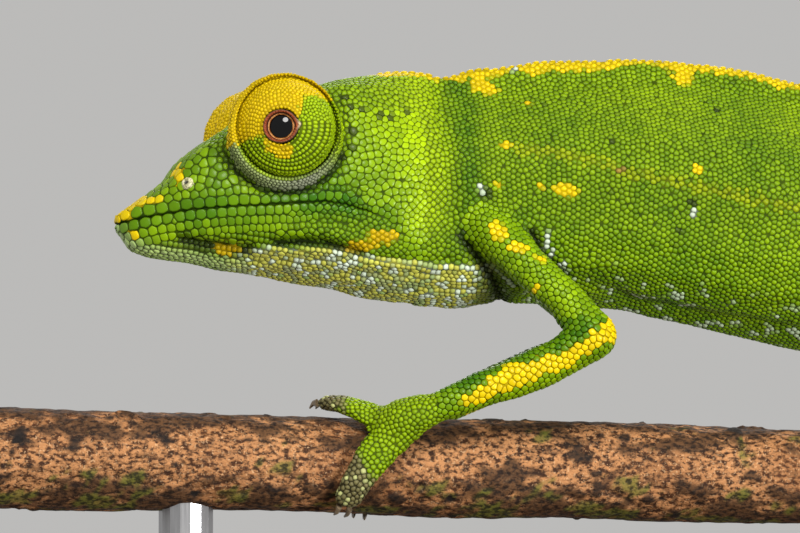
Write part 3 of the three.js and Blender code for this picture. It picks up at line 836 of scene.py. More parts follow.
def stations(line, step, shrink=0.0):
    """Places a step apart along a line of points, and the heading at each. The steps get
    shorter along it by the share shrink."""
    line = np.array(line, float)
    lengths = lengths_along(line)
    marks = np.arange(step / 2, lengths[-1], step)
    if shrink:
        keep = 1 - shrink * step / lengths[-1]
        count = int(math.log(1 - shrink) / math.log(keep))
        marks = lengths[-1] / shrink * (1 - keep ** (np.arange(count) + 0.5))
    places = places_at(marks, lengths, line)
    return places, unit(np.gradient(places, axis=0))


def nearest_station(centres, places):
    """The number of the centre that is nearest to each place."""
    return np.array([np.argmin(((centres - spot) ** 2).sum(axis=1)) for spot in places], int)


def rounded(line, step, rounds=6):
    """A line of points with its corners rounded off."""
    places, _ = stations(line, step)
    for _ in range(rounds):
        places[1:-1] = (places[:-2] + 2 * places[1:-1] + places[2:]) / 4
    return places


def ends_of(name):
    """The middles of the two ends of a long solid."""
    points, _ = fine_outline(name, 0)
    centred = points - points.mean(axis=0)
    _, _, axes = np.linalg.svd(centred, full_matrices=False)
    along = centred @ axes[0]
    low, high = along.min(), along.max()
    share = 0.15 * (high - low)
    return points[along < low + share].mean(axis=0), points[along > high - share].mean(axis=0)


def limb_line(leg, side):
    """A line down the middle of a leg, from its root to the end of its palm."""
    names = [f"{leg}leg_{side}_upper", f"{leg}leg_{side}_lower", f"{leg}foot_{side}_palm"]
    middles = [np.mean(ends_of(name), axis=0) for name in names]
    towards = middles[1:] + [middles[2] * 2 - middles[1]]
    line = []
    for name, goal in zip(names, towards):
        line += sorted(ends_of(name), key=lambda end: -np.linalg.norm(end - goal))
    return rounded(line, 0.3)


def tail_line():
    """Down the middle of the tail: a falling run, then the curl."""
    curl = TAIL_CURL
    turns = np.linspace(0, curl["turns"], 60)[2:]
    angles = math.pi / 2 - turns * math.tau
    reach = curl["outer"] + (curl["inner"] - curl["outer"]) * turns / curl["turns"]
    ring = np.stack([curl["y"] + reach * np.cos(angles), curl["z"] + reach * np.sin(angles)], 1)
    flat = np.concatenate([TAIL_RUN, ring])
    return rounded(np.insert(flat, 0, 0, axis=1), 0.6)


def trunk_line(skin):
    """Along the middle of the body, from the snout to the hips."""
    stops = np.arange(0.5, 64.5, 1.0)
    middles = np.mean(outline_heights(skin, stops), axis=0)
    return rounded(np.stack([0 * stops, stops, middles], 1), 0.8, 400)


def ring_frame(heading):
    """The ways to the left and up across a heading, or across each of several."""
    side = unit(np.array([1.0, 0, 0]) - heading[..., :1] * heading)
    return side, np.cross(heading, side)


ENOUGH = 0.7            # share of a ring's rays that have to meet the skin


def rings_round(skin, line, spacing, rays, stray=0.0):
    """Places in even rings round a line, each ring's places set between those of the last, and
    each straying a little."""
    seeds = []
    angles = np.linspace(0, math.tau, rays, endpoint=False)
    centres, headings = stations(line, spacing * ROW_STEP)
    for number, (centre, heading) in enumerate(zip(centres, headings)):
        side, up = ring_frame(heading)
        hits = skin.cast_all([(centre, side * math.cos(a) + up * math.sin(a)) for a in angles])
        if len(hits) < rays * ENOUGH:
            continue
        loop = np.concatenate([hits, hits[:1]])
        lengths = lengths_along(loop)
        count = max(4, round(lengths[-1] / spacing))
        marks = (np.arange(count) + number % 2 / 2) * lengths[-1] / count
        seeds.append(places_at(marks, lengths, loop))
    places = np.concatenate(seeds)
    return places + np.random.default_rng(17).normal(0, 1, places.shape) * stray


def row_beside(skin, line, offset, step, side, shrink=0.0):
    """Places along a line seen from the side, set off from it, a step apart on the skin."""
    flat = rounded(np.insert(np.array(line, float), 0, 0, axis=1), 0.1, 2)[:, 1:]
    runs = unit(np.gradient(flat, axis=0))
    flat = flat + offset * np.stack([-runs[:, 1], runs[:, 0]], 1)
    hits = skin.cast_all([((side * BESIDE, y, z), (-side, 0, 0)) for y, z in flat])
    return stations(hits, step, shrink)[0]


def eye_ring(skin, side, reach, spacing, share, turn=0.0):
    """A ring of places round an eye. share is 0 round the gaze and 1 round the furrow's middle."""
    centre, outward, look, _ = eye_frame(side)
    axis = unit(look * (1 - share) + outward * share)
    middle = centre + share * np.array([0, FURROW["back"], FURROW["up"]])
    count = round(math.tau * reach / spacing)
    ways = [ring_side(axis, (step + turn) * math.tau / count) for step in range(count)]
    return skin.cast_all([(middle + way * reach + axis * OVER_EYE, -axis) for way in ways])


DOME_REACHES = np.arange(TURRET["lid"] + 0.1, FURROW["reach"] - 0.1, SPACING["turret"])
OVER_EYE = 5            # clear of an eye, for rays down on to it
GHOST_STEP = 0.14       # from one place to the next along a groove that no scale may cover


def outer_share(reach):
    """How far a dome's ring has turned from the gaze, 0, to the furrow's middle, 1."""
    return ease(reach, 1.2, 2.6)


def turret_rings(skin, side):
    """Rings of scales over a dome: round the gaze by the lid, round the furrow further out."""
    return np.concatenate([eye_ring(skin, side, reach, SPACING["turret"], outer_share(reach), number % 2 / 2)
                           for number, reach in enumerate(DOME_REACHES)])


def pleat_ghosts(skin, side):
    """Places between the rings of a dome's lower half, where a groove shows."""
    between = DOME_REACHES[:-1] + SPACING["turret"] / 2
    places = np.concatenate([eye_ring(skin, side, reach, SPACING["ghost"], outer_share(reach))
                             for reach in between])
    return places[places[:, 2] < TURRET["z"] + 0.3]


def furrow_ghosts(skin, side):
    """Places along the furrow and the edge of the lid where no scale may lie."""
    furrow = eye_ring(skin, side, FURROW["reach"], GHOST_STEP, 1.0)
    lid = eye_ring(skin, side, TURRET["lid"] - 0.03, GHOST_STEP, 0.0)
    return np.concatenate([furrow, lid])


RIM_SCALES = 96
RIM_SHARES = (0.3, 0.72)    # where the rim's two rows of scales run, from the furrow outwards


def rim_rows(skin, side):
    """Two rows of scales on the rim round a dome."""
    centre, outward, _, _ = eye_frame(side)
    rays = []
    for share in RIM_SHARES:
        for way in ways_round(outward, RIM_SCALES):
            inner = furrow_reach(math.degrees(math.atan2(way[2], -way[1])))
            reach = inner + (TURRET["ring"] - 0.03 - inner) * share
            rays.append((centre + way * reach + outward * OVER_EYE, -outward))
    return skin.cast_all(rays)


def ring_side(axis, angle):
    """The way out from an axis at an angle, 0 for straight up."""
    up = unit(np.array([0, 0, 1.0]) - axis[2] * axis)
    return up * math.cos(angle) + np.cross(axis, up) * math.sin(angle)


def crest_row(skin, line):
    """Places along the top of the back and tail."""
    rays = []
    for centre, heading in zip(*stations(line, CREST["step"])):
        _, up = ring_frame(heading)
        rays.append((centre, -up if up[2] * heading[1] < 0 else up))
    return skin.cast_all(rays)


# How far apart the scales are: by y on the jaw and skull, and by z on the casque and thighs.
JAW_SPACING = [(0, 0.46), (3, 0.56), (6, 0.5), (8, 0.42), (10, 0.34), (12, 0.29), (15, 0.3)]
SKULL_SPACING = [(0, 0.46), (3, 0.54), (7, 0.56), (10, 0.5), (13, 0.44), (15.5, 0.36), (18, 0.31)]
CASQUE_SPACING = [(14, 0.6), (16, 0.36), (18, 0.3)]
THIGH_SPACING = [(6.5, SPACING["leg"]), (9, 0.33)]
WRIST_SPACING = [(1.5, 0.29), (4.5, SPACING["leg"])]    # by the way from the palm's middle
FINE_HEAD = 0.33        # round the turrets and on the throat
THIN_TAIL = 0.3


def palm_gap(places):
    """How far each place is from the middle of the nearest palm."""
    return np.min([np.linalg.norm(places - palm, axis=1) for palm in PALMS], axis=0)


def spacing_at(places, owners):
    """How far apart the scales want to be at each place."""
    y, z = places[:, 1], places[:, 2]
    spacing = by_kind(SPACING, owners)
    skull, jaw = held(owners, "head"), held(owners, "lower_jaw")
    spacing = np.where(jaw, read_off(JAW_SPACING, y), spacing)
    along_skull = np.minimum(read_off(SKULL_SPACING, y), read_off(CASQUE_SPACING, z))
    spacing = np.where(skull, along_skull, spacing)
    by_eye = np.hypot(y - TURRET["y"], z - TURRET["z"]) < 3.7
    throat = z < 9.3 - 0.13 * y
    spacing = np.where((skull | jaw) & (by_eye | throat), FINE_HEAD, spacing)
    leg = held(owners, "leg_")
    spacing = np.where(leg, read_off(WRIST_SPACING, palm_gap(places)), spacing)
    spacing = np.where(leg & (z > THIGH_SPACING[0][0]), read_off(THIGH_SPACING, z), spacing)
    return np.where(held(owners, "tail_4", "tail_5"), THIN_TAIL, spacing)


def spread(places, spacing):
    """Which places to keep, in order, so that no two are closer than a share of their spacing."""
    cell = float(spacing.max())
    held = defaultdict(list)
    kept = []
    cells = np.floor(places / cell).astype(int).tolist()
    around = [(a, b, c) for a in (-1, 0, 1) for b in (-1, 0, 1) for c in (-1, 0, 1)]
    rows = places.tolist()
    gaps = (spacing * CLOSEST).tolist()
    for index, ((i, j, k), (x, y, z), gap) in enumerate(zip(cells, rows, gaps)):
        free = True
        for a, b, c in around:
            for u, v, w, other in held.get((i + a, j + b, k + c), ()):
                room = (gap + other) / 2
                if (x - u) ** 2 + (y - v) ** 2 + (z - w) ** 2 < room * room:
                    free = False
                    break
            if not free:
                break
        if free:
            held[i, j, k].append((x, y, z, gap))
            kept.append(index)
    return np.array(kept)


def settled(skin, places, spacing, stiffness, rounds):
    """The places after each has been pushed clear of its neighbours a few times."""
    normals = None
    for _ in range(rounds):
        tree = tree_of(places)
        near = np.array([[found[1] for found in tree.find_n(spot, 7)[1:]] for spot in places.tolist()])
        away = places[:, None] - places[near]
        distance = np.maximum(np.linalg.norm(away, axis=2), 1e-6)
        wanted = (spacing[:, None] + spacing[near]) / 2
        push = np.clip(1 - distance / wanted, 0, 1) / distance
        shift = (away * push[:, :, None]).sum(axis=1) * spacing[:, None] * 0.4
        places, normals = skin.land(places + shift * (1 - stiffness)[:, None])
    return places, normals


CREST_KIND, LIP_KIND, GHOST_KIND = 1, 2, 3
FIRM = {                # how firmly a group's places hold, from 0 for free to 1 for fixed
    "crest": 0.95, "groove": 1.0, "turret": 0.8, "throat": 0.7, "trunk": 0.5, "leg": 0.45, "rest": 0.0,
}
RAYS = {"leg": 40, "tail": 36, "trunk": 96}     # rays that find each ring
RIM_SPACING = 0.2
LIP_ROWS = [            # (offset from the mouth line, step, firmness)
    (0.31, 0.78, 0.9), (-0.29, 0.7, 0.9), (0.84, 0.56, 0.6), (-0.8, 0.56, 0.7), (-1.26, 0.5, 0.6),
]
LIP_SHRINK = 0.5        # the plates of a row get this much shorter towards the mouth's corner
THROAT_ROWS = 7
BEAD = 0.3              # from one bead of the throat's rows to the next
PLEAT = 0.05            # room that a groove between two rings of a dome's scales takes
LIP_GAP = 0.07          # room that the line between the lips takes
FLANK_STRAY = 0.05      # how far the rings of the trunk's scales stray from their even places


class Coat:
    """Every scale's root, way out, spacing, height and the solid that it stands on."""

    def __init__(self, skin, flesh, lines):
        self.seed(skin, flesh, lines)
        self.look_round()

    def seed(self, skin, flesh, lines):
        """Gathers rows and rings first, then fills what they leave bare. Each group has a
        firmness and may have a spacing of its own."""
        groups = []

        def gather(places, firm, spacing=0.0, kind=0, on=()):
            if on:
                places = places[held(flesh.nearest(places)[0], *on)]
            groups.append((places, np.tile([firm, spacing, kind], (len(places), 1))))

        gather(crest_row(skin, lines["back"]), FIRM["crest"], CREST["room"], CREST_KIND)
        for side in SIDES:
            gather(row_beside(skin, MOUTH[1:], 0, 0.2, side), FIRM["groove"], LIP_GAP, GHOST_KIND)
            gather(furrow_ghosts(skin, side), FIRM["groove"], SPACING["ghost"], GHOST_KIND)
            for offset, step, firm in LIP_ROWS:
                row = row_beside(skin, MOUTH[1:-1], offset, step, side, LIP_SHRINK)
                for place, share in zip(row, np.linspace(0, 1, len(row))):
                    gather(place[None], firm, step * (1 - LIP_SHRINK * share), LIP_KIND)
            gather(turret_rings(skin, side), FIRM["turret"])
            gather(pleat_ghosts(skin, side), FIRM["groove"], PLEAT, GHOST_KIND)
            gather(rim_rows(skin, side), FIRM["turret"], RIM_SPACING)
            for number in range(THROAT_ROWS):
                height = BEAD * (number + 0.4)
                gather(row_beside(skin, lines["throat"], height, BEAD, side), FIRM["throat"], BEAD)
        for limb in lines["limbs"]:
            gather(rings_round(skin, limb, SPACING["leg"], RAYS["leg"]), FIRM["leg"], on=["leg_"])
        tail = rings_round(skin, lines["tail"], SPACING["tail"], RAYS["tail"])
        gather(tail, FIRM["trunk"], on=["tail"])
        trunk = rings_round(skin, lines["trunk"], SPACING["trunk"], RAYS["trunk"], FLANK_STRAY)
        gather(trunk, FIRM["trunk"], on=["neck", "trunk"])
        gather(skin.points[np.random.default_rng(3).permutation(len(skin.points))], FIRM["rest"])
        places = np.concatenate([group[0] for group in groups])
        firm, own, kind = np.concatenate([group[1] for group in groups]).T
        owners, _ = flesh.nearest(places)
        spacing = np.where(own > 0, own, spacing_at(places, owners))
        kept = spread(places, spacing)
        self.kind = kind[kept]
        self.spacing = spacing[kept]
        rounds = 6
        self.places, self.normals = settled(skin, places[kept], self.spacing, firm[kept], rounds)
        self.owners, _ = flesh.nearest(self.places)
        self.lie(lines)

    def lie(self, lines):
        """Which way each scale lies: back along the body, and down along a leg."""
        back = np.zeros_like(self.places)
        for owner, name in enumerate(FLESH):
            ours = np.flatnonzero(self.owners == owner)
            centres, headings = stations(lines["of"][name], 0.5)
            back[ours] = headings[nearest_station(centres, self.places[ours])]
        back = back - (self.normals * back).sum(axis=1, keepdims=True) * self.normals
        self.ways = unit(back + 1e-6)
        self.across = np.cross(self.normals, self.ways)

    def look_round(self):
        """Finds the neighbours of each scale."""
        tree = tree_of(self.places)
        self.near = np.array([[found[1] for found in tree.find_n(spot, 13)[1:]]
                              for spot in self.places.tolist()])

    def reach(self, chosen, angles, sharpness):
        """How far each chosen scale reaches at each angle: half way to its neighbours."""
        near = self.near[chosen]
        offset = self.places[near] - self.places[chosen][:, None]
        ahead = (offset * self.ways[chosen][:, None]).sum(axis=2)
        beside = (offset * self.across[chosen][:, None]).sum(axis=2)
        flat = np.maximum(np.hypot(ahead, beside), 1e-6)
        own = self.spacing[chosen][:, None]
        share = own / (own + self.spacing[near])
        toward = (ahead / flat)[:, :, None] * np.cos(angles) + (beside / flat)[:, :, None] * np.sin(angles)
        pull = np.maximum(toward, 0) / (flat * share)[:, :, None]
        reach = (pull ** sharpness).sum(axis=1) ** (-1 / sharpness)
        return np.minimum(reach, 0.72 * own)


PATCH = 0.003           # width of a scale on the map that its finish is baked through

# A form of scale: how many corners it has and how sharp these are, the share of its reach that it
# fills, how far its crown leans back and its rear edge stands up, and its profile, rows of (share
# of the reach, share of the height, shade of the joint). That shade is the dark joint and painted
# shade over the scale's outer slope, so that its top reads lighter.
GRANULE = {"corners": 8, "sharpness": 12, "fill": 0.975, "lean": 0.06, "tilt": 0.15,
           "profile": [(1, -0.4, 1), (0.86, 0.58, 0.3)]}
PLATE = {"corners": 12, "sharpness": 22, "fill": 0.975, "lean": 0.02, "tilt": 0.34,
         "profile": [(1, -0.5, 1), (0.93, 0.62, 0.24), (0.74, 0.95, 0)]}

RISE = {                # how high a scale stands
    "head": 0.052, "lower_jaw": 0.058, "neck": 0.058, "trunk": 0.06, "tail": 0.06, "turret": 0.05,
    "eyeball": 0.05, "leg": 0.065, "foot": 0.06,
}
CREST_RISE = 2.2        # a scale of the crest stands this many times as high
PLATED_FROM = 0.34      # the spacing above which the head's scales are plates


def scale_points(coat, chosen, form, angles):
    """The rings of corners and the crown of each chosen scale."""
    reach = coat.reach(chosen, angles, form["sharpness"]) * form["fill"]
    rise = coat.rise[chosen]
    lean = coat.ways[chosen] * (form["lean"] * coat.spacing[chosen])[:, None]
    heading = (coat.ways[chosen][:, None] * np.cos(angles)[:, None]
               + coat.across[chosen][:, None] * np.sin(angles)[:, None])
    rings = []
    for share, lift, _ in form["profile"]:
        tilt = form["tilt"] * share * np.cos(angles) * (lift > 0)
        heights = rise[:, None] * (lift + tilt)
        ring = coat.places[chosen][:, None] + heading * (reach * share)[:, :, None]
        ring = ring + coat.normals[chosen][:, None] * heights[:, :, None]
        rings.append(ring + (lean * max(lift, 0))[:, None])
    crown = coat.places[chosen] + coat.normals[chosen] * rise[:, None] + lean
    return np.concatenate([*rings, crown[:, None]], axis=1)


def scale_faces(rings, corners):
    """The triangles between one scale's rings and up to its crown."""
    corner = np.arange(corners)
    following = (corner + 1) % corners
    triangles = []
    for ring in range(rings - 1):
        outer, inner = ring * corners, (ring + 1) * corners
        triangles.append(np.stack([outer + corner, outer + following, inner + following], 1))
        triangles.append(np.stack([outer + corner, inner + following, inner + corner], 1))
    last = (rings - 1) * corners
    crown = np.full(corners, rings * corners)
    triangles.append(np.stack([last + corner, last + following, crown], 1))
    return np.concatenate(triangles)


def paint_hide(mesh, edge, marks, tone, grey, orange):
    paint(mesh, "marks", marks)
    paint(mesh, "tone", tone)
    paint(mesh, "form", np.stack([edge, grey, orange], 1))


def scale_mesh(name, coat, chosen, form, spots):
    """Low scales of one form as one mesh, each laid out round its own spot of the map."""
    profile, corners = form["profile"], form["corners"]
    angles = np.arange(corners) * math.tau / corners
    points = scale_points(coat, chosen, form, angles)
    count, size, _ = points.shape
    starts = np.arange(count) * size
    faces = (scale_faces(len(profile), corners)[None] + starts[:, None, None]).reshape(-1, 3)
    mesh = make_mesh(name, points.reshape(-1, 3), faces)

    edge = np.concatenate([np.full(corners, shade) for _, _, shade in profile] + [[0]])
    colours = [np.repeat(values, size, axis=0) for values in coat.colours(chosen)]
    paint_hide(mesh, np.tile(edge, count), *colours)
    circle = np.stack([np.cos(angles), np.sin(angles)], 1)
    patch = np.concatenate([circle * share for share, _, _ in profile] + [[[0, 0]]])
    lay_out(mesh, (spots[:, None] + patch[None] * PATCH / 2).reshape(-1, 2))
    return mesh


# ---- Markings -------------------------------------------------------------------------------

# (y, z, half length, half height) seen from the side.
YELLOW_SPOTS = [
    (0.2, 10.85, 0.5, 0.32), (0.9, 11.3, 0.5, 0.2), (1.6, 11.65, 0.45, 0.2), (3.1, 12.75, 0.16, 0.35),
    (3.35, 13.2, 0.16, 0.3), (0.7, 9.9, 0.2, 0.14), (0.95, 9.6, 0.2, 0.14),
    (20.3, 18.5, 0.5, 0.4), (20.8, 18.2, 0.4, 0.34), (31.9, 19.2, 0.55, 0.4), (20.6, 12.6, 0.2, 0.16),
    (22.85, 12.55, 0.22, 0.16), (24.1, 12.35, 0.5, 0.3), (24.4, 12.15, 0.4, 0.24), (31.6, 13.6, 0.24, 0.24),
    (22.75, 17.3, 0.2, 0.16), (21.0, 14.8, 0.3, 0.15),
    (44.5, 14.6, 0.5, 0.4), (48.2, 8.6, 0.4, 0.4), (38.9, 7.9, 0.3, 0.3), (52.6, 11.9, 0.6, 0.4),
]
ORANGE_SPOTS = [(5.8, 9.0, 0.6, 0.26), (12.9, 9.1, 0.7, 0.3), (14.1, 9.6, 0.8, 0.34)]
SHOULDER_SPOTS = [(20.3, 9.95, 0.46, 0.42), (21.3, 9.05, 0.5, 0.26), (22.4, 8.4, 0.3, 0.16),
                  (22.25, 6.8, 0.16, 0.16)]
WHITE_SPOTS = [(19.6, 12.4, 0.2, 0.24), (31.35, 11.15, 0.2, 0.22), (41.8, 9.6, 0.22, 0.22),
               (22.3, 19.4, 0.2, 0.16), (23.25, 9.6, 0.14, 0.4), (23.6, 8.9, 0.18, 0.16),
               (24.3, 8.35, 0.22, 0.16)]
DARK_SPOTS = [
    (15.6, 16.65, 0.14, 0.45), (14.75, 16.2, 0.22, 0.16), (14.2, 16.3, 0.2, 0.2),
    (12.2, 17.2, 0.2, 0.2), (12.45, 16.6, 0.2, 0.2), (12.4, 15.4, 0.2, 0.2),
    (11.8, 13.9, 0.2, 0.2), (12.4, 14.25, 0.2, 0.2), (13.2, 16.5, 0.2, 0.2),
    (31.2, 11.75, 0.32, 0.24), (30.6, 10.2, 0.14, 0.18), (19.9, 12.1, 0.3, 0.3),
    (26.9, 15.1, 0.1, 0.1), (33.4, 17.2, 0.12, 0.12), (43.1, 12.2, 0.2, 0.18),
]
SIDE_LINE = [(20.5, 14.7), (22.5, 14.6), (25, 14.15), (27.1, 13.5), (30, 12.9), (33.5, 12.25), (37, 11.5),
             (44, 10.4), (54, 9.6), (62, 9)]
FORELEG_BAND = [(26.2, 4.9), (26.1, 4.45), (25.1, 3.9), (24.2, 3.25), (23.1, 2.75), (21.9, 2.32),
                (20.8, 1.92), (19.9, 1.45), (18.4, 0.65)]
HINDLEG_BAND = [(52.0, 5.6), (51.6, 4.6), (52.4, 3.5), (54.6, 2.5), (57.4, 1.3)]
BAND_WIDTH = [(0, 0.4), (0.06, 0.55), (0.18, 0.46), (0.44, 0.5), (0.7, 0.62), (0.82, 0.5), (1, 0.2)]
CREST_YELLOW = [(13.8, 0), (15, 0.3), (17.6, 0.3), (18.2, 0.1), (19.2, 0.5), (21.6, 0.4), (22.2, 0.1),
                (23.2, 0.6), (25, 0.55), (27.8, 0.5), (29, 0.16), (30.6, 0.2), (31.2, 0.6), (32.7, 0.5),
                (33.4, 0.4), (38, 0.45), (40, 0.15), (41, 0.4), (47, 0.4), (48, 0.1), (50, 0.4),
                (56, 0.36), (60, 0.1)]
BROWN_SPOTS = [(27.2, 13.45, 0.34, 0.16)]


def spots_cover(y, z, spots, stray):
    """Where spots cover a side, with an edge that strays from scale to scale."""
    cover = np.zeros(len(y))
    for middle, height, length, tall in spots:
        away = np.hypot((y - middle) / length, (z - height) / tall)
        cover = np.maximum(cover, ease(1.15 + 0.3 * stray - away, -0.2, 0.2))
    return cover


def band_cover(points, line, stray):
    gap, share = line_gap(points, line)
    return ease(read_off(BAND_WIDTH, share) * (1 + 0.35 * stray) - gap, -0.05, 0.05)


def most(*covers):
    return np.maximum.reduce(covers)


# The right side wears the left's spots this much further on, so that it isn't a copy.
SHIFTS = {"body": 1.1, "shoulder": 0.8, "fore": 1.9, "hind": 2.4}
SHIFTED_FROM = 18.5
# a pale bead on the toes is partly a painted glint
TOE_BEADS_AND_GLINTS = 0.88        # the chance above which a scale on the toes is a pale bead
SPECKS = 0.992          # and a scale on the trunk a dark speck


class Markings:
    """The markings, the same for the skin and for its scales. stray is one random number from
    -1 to 1 for each place, so that a scale is one colour all over."""

    def __init__(self, points, owners, top, stray, chance):
        self.points, self.owners, self.stray, self.chance = points, owners, stray, chance
        self.y, self.z = points[:, 1], points[:, 2]
        self.depth = top[0] - self.z
        self.height = self.z - top[1]
        self.on = {kind: held(owners, kind)
                   for kind in ("head", "lower_jaw", "neck", "trunk", "tail", "turret", "eyeball",
                                "fore", "hind", "leg", "palm", "toes", "outer")}
        self.body = self.on["head"] | self.on["lower_jaw"] | self.on["neck"] | self.on["trunk"]
        self.right = points[:, 0] < 0
        self.shifted = self.y - np.where(self.right & (self.y > SHIFTED_FROM), SHIFTS["body"], 0)

    def warmth(self):
        """From deep green, 0, to yellow green, 1."""
        y, z = self.y, self.z
        tone = read_off([(3, 0.22), (7, 0.3), (10, 0.33), (13, 0.36), (16, 0.42), (20, 0.42)], z)
        high = ease(z, 8.5, 11)
        tone = tone + 0.36 * bell(y - 16.7, 1.3) * high
        # a deeper green band where the neck narrows behind the head: painted shade
        tone = tone - 0.24 * bell(y - 18.9, 0.8) * high
        tone = tone + 0.08 * ease(y, 11, 13.5) * ease(17 - y, 0, 2) * high
        gap, _ = line_gap(self.points, MOUTH)
        tone = tone - np.where(self.on["head"] | self.on["lower_jaw"], 0.22 * bell(gap, 0.9), 0)
        above = z - np.interp(y, *zip(*FORELEG_BAND[:1:-1]))
        forearm = np.where(self.on["fore"] & (z < 5.2), 0.24 * ease(above, 0.3, 0.9), 0)
        tone = np.where(self.on["leg"], 0.4 - forearm, tone)
        tone = np.where(self.on["palm"] | self.on["toes"], 0.58, tone)
        tone = np.where(self.on["tail"], 0.34, tone)
        turret = self.on["turret"] | self.on["eyeball"]
        tone = np.where(turret, 0.74, tone)
        cloudy = 0.06 * waver(self.points, 3.5, 11) + 0.04 * waver(self.points, 1.1, 12)
        return np.clip(tone + cloudy + 0.07 * self.stray, 0, 1)

    def frontward(self):
        """How far a place lies towards the front edge of its bundle of toes, from 0 to 2."""
        share = np.ones(len(self.y))
        for owner, name in enumerate(FLESH):
            if "toes" in name:
                low, high = (corner[1] / MM - HOME[1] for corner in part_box(name))
                share = np.where(self.owners == owner, 2 * (high - self.y) / (high - low), share)
        return np.clip(share, 0, 2)

    def turret(self):
        """Yellow, orange and grey over the turrets, and painted shadow in the moat under them."""
        yellow, orange, grey, moat = np.zeros((4, len(self.y)))
        ours = self.on["turret"] | self.on["eyeball"]
        for side in SIDES:
            reach, _, angle = turret_places(self.points, side)
            here = ours & (self.points[:, 0] * side > 0)
            turn = np.radians(angle)
            ahead, up = reach * np.cos(turn), reach * np.sin(turn)
            front = ease(ahead + 0.3 * up, -1.0, 0.4) * ease(up + 0.3 * ahead, -0.6, 0.5)
            under_lid = bell(reach - 1.3, 0.55) * ease(-np.sin(turn), 0.1, 0.7) * ease(ahead, -0.6, 0.1)
            share = np.maximum(np.maximum(front, ease(up, 1.2, 2.2)), 0.8 * under_lid)
            cover = ease(share + 0.2 * self.stray, 0.4, 0.62)
            yellow = np.where(here, cover, yellow)
            low = ease(-np.sin(turn - 0.35), -0.1, 0.8)
            rim = ease(reach, 2.65, 2.9) * (0.5 + 0.5 * ease(-np.cos(turn), -0.7, 0.5))
            grey = np.where(here, rim * low, grey)
            orange = np.where(here, 0.02 + 0.12 * self.chance, orange)
            # painted shadow under each turret's rim, in the moat on its lower side
            below = (ours | self.on["head"]) & (self.points[:, 0] * side > 1.5)
            under = ease(-np.sin(turn), 0, 0.6)
            moat = np.where(below, 0.8 * bell(reach - 3.38, 0.17) * under, moat)
        return yellow, orange, grey, moat

    def throat(self):
        """White, brown and yellow beads in long rows under the jaw and along the throat, and the
            painted light that brightens the skin there and along the chin's edge."""
        ours = self.on["lower_jaw"] | self.on["neck"] | self.on["head"]
        top = read_off([(5, 0.6), (8, 1.5), (12, 2.1), (21, 2.3)], self.y)
        low = np.where(ours, ease(top - self.height, 0, 0.3) * ease(self.y, 5, 8)
                       * ease(21.5 - self.y, 0, 2.5), 0)
        row = np.floor(self.height / BEAD)
        along = np.stack([self.y, 5.3 * row, np.sign(self.points[:, 0]) * 9], 1)
        streak = waver(along, 0.5, 61) + 0.7 * self.stray
        pale_run = bell(self.y - 7.4, 1.3) + bell(self.y - 17, 1.6)
        white = low * np.maximum(ease(streak + 0.3 * pale_run, 0.75, 0.95), 0.24)
        brown = low * ease(-0.4 - streak, 0, 0.3) * (1 - 0.7 * ease(self.y, 14, 18))
        gold = low * ease(0.75 - np.abs(streak), 0, 0.3)
        # the chin's edge: a pale line, also lit up by painted light
        edge = np.where(self.on["lower_jaw"], bell(self.height - 0.25, 0.3) * ease(9 - self.y, 0, 2.5), 0)
        return np.maximum(white, 0.3 * edge), 0.4 * brown, 0.46 * gold, np.maximum(low, 1.9 * edge)

    def body_spots(self, spots, straying=1):
        cover = spots_cover(self.shifted, self.z, spots, straying * self.stray)
        return np.where(self.body, cover, 0)

    def shoulder(self):
        """The yellow spots from the shoulder down the upper arm."""
        y = np.where(self.right, self.shifted - SHIFTS["shoulder"], self.shifted)
        arm = self.on["fore"] | (self.body & (self.z > 9))
        return np.where(arm & (self.z > 5.9), spots_cover(y, self.z, SHOULDER_SPOTS, self.stray), 0)

    def leg_band(self, leg, line):
        """A leg's yellow band, on its outer side."""
        flat = self.points.copy()
        flat[:, 1] -= np.where(self.right, SHIFTS[leg], 0)
        here = self.on[leg] & self.on["leg"] & (np.abs(self.points[:, 0]) > 3.2)
        return np.where(here, band_cover(flat, line, self.stray), 0)

    def yellow(self, orange_spots):
        """The yellow of the body and legs."""
        crest = read_off(CREST_YELLOW, self.shifted) * (1 + 0.3 * self.stray) - self.depth
        side_gap, _ = line_gap(self.points, SIDE_LINE)
        side_line = ease(0.3 + 0.25 * self.stray - side_gap, -0.1, 0.2)
        return most(self.body_spots(YELLOW_SPOTS), np.where(self.body, 0.8 * orange_spots, 0),
                    self.shoulder(), np.where(self.body, ease(crest, -0.06, 0.06), 0),
                    self.leg_band("fore", FORELEG_BAND), self.leg_band("hind", HINDLEG_BAND),
                    0.16 * np.where(self.on["trunk"], side_line, 0))

    def belly(self):
        """Pale clouds along the belly."""
        low = np.where(self.body & (self.y > 20), ease(2.4 - self.height, 0, 1.2), 0)
        return low * 0.6 * ease(waver(self.points * [1, 0.7, 1.3], 0.6, 62) + 0.7 * self.stray, 0.8, 1.4)

    def toes(self):
        """How far the tips of the toes are soiled, and their pale beads, partly painted glints."""
        reach = palm_gap(self.points)
        front = np.where(self.on["outer"], 0.9 * ease(reach, 1.5, 2.5) * self.frontward(), 1.0)
        toe = np.where(self.on["toes"], ease(reach + 0.35 * self.stray + front, 4.6, 5.4), 0)
        return toe, toe * (self.chance > TOE_BEADS_AND_GLINTS)

    def painted_fold_shade(self, orange_spots):
        """Painted shade in the deepest folds: under the chin, along the jaw's crease, in the armpit's slit
        and in front of the shoulder.
        """
        # painted shade under the chin and in the jaw's crease, less where the orange spots lie
        under = crease(self.points, CHIN_HOLLOW, -0.95, 0.28)
        chin = most(under, crease(self.points, JAW_CREASE, -0.8, 0.2)) * (1 - 0.85 * orange_spots)
        chin = np.where(self.on["lower_jaw"] | self.on["head"], chin, 0)
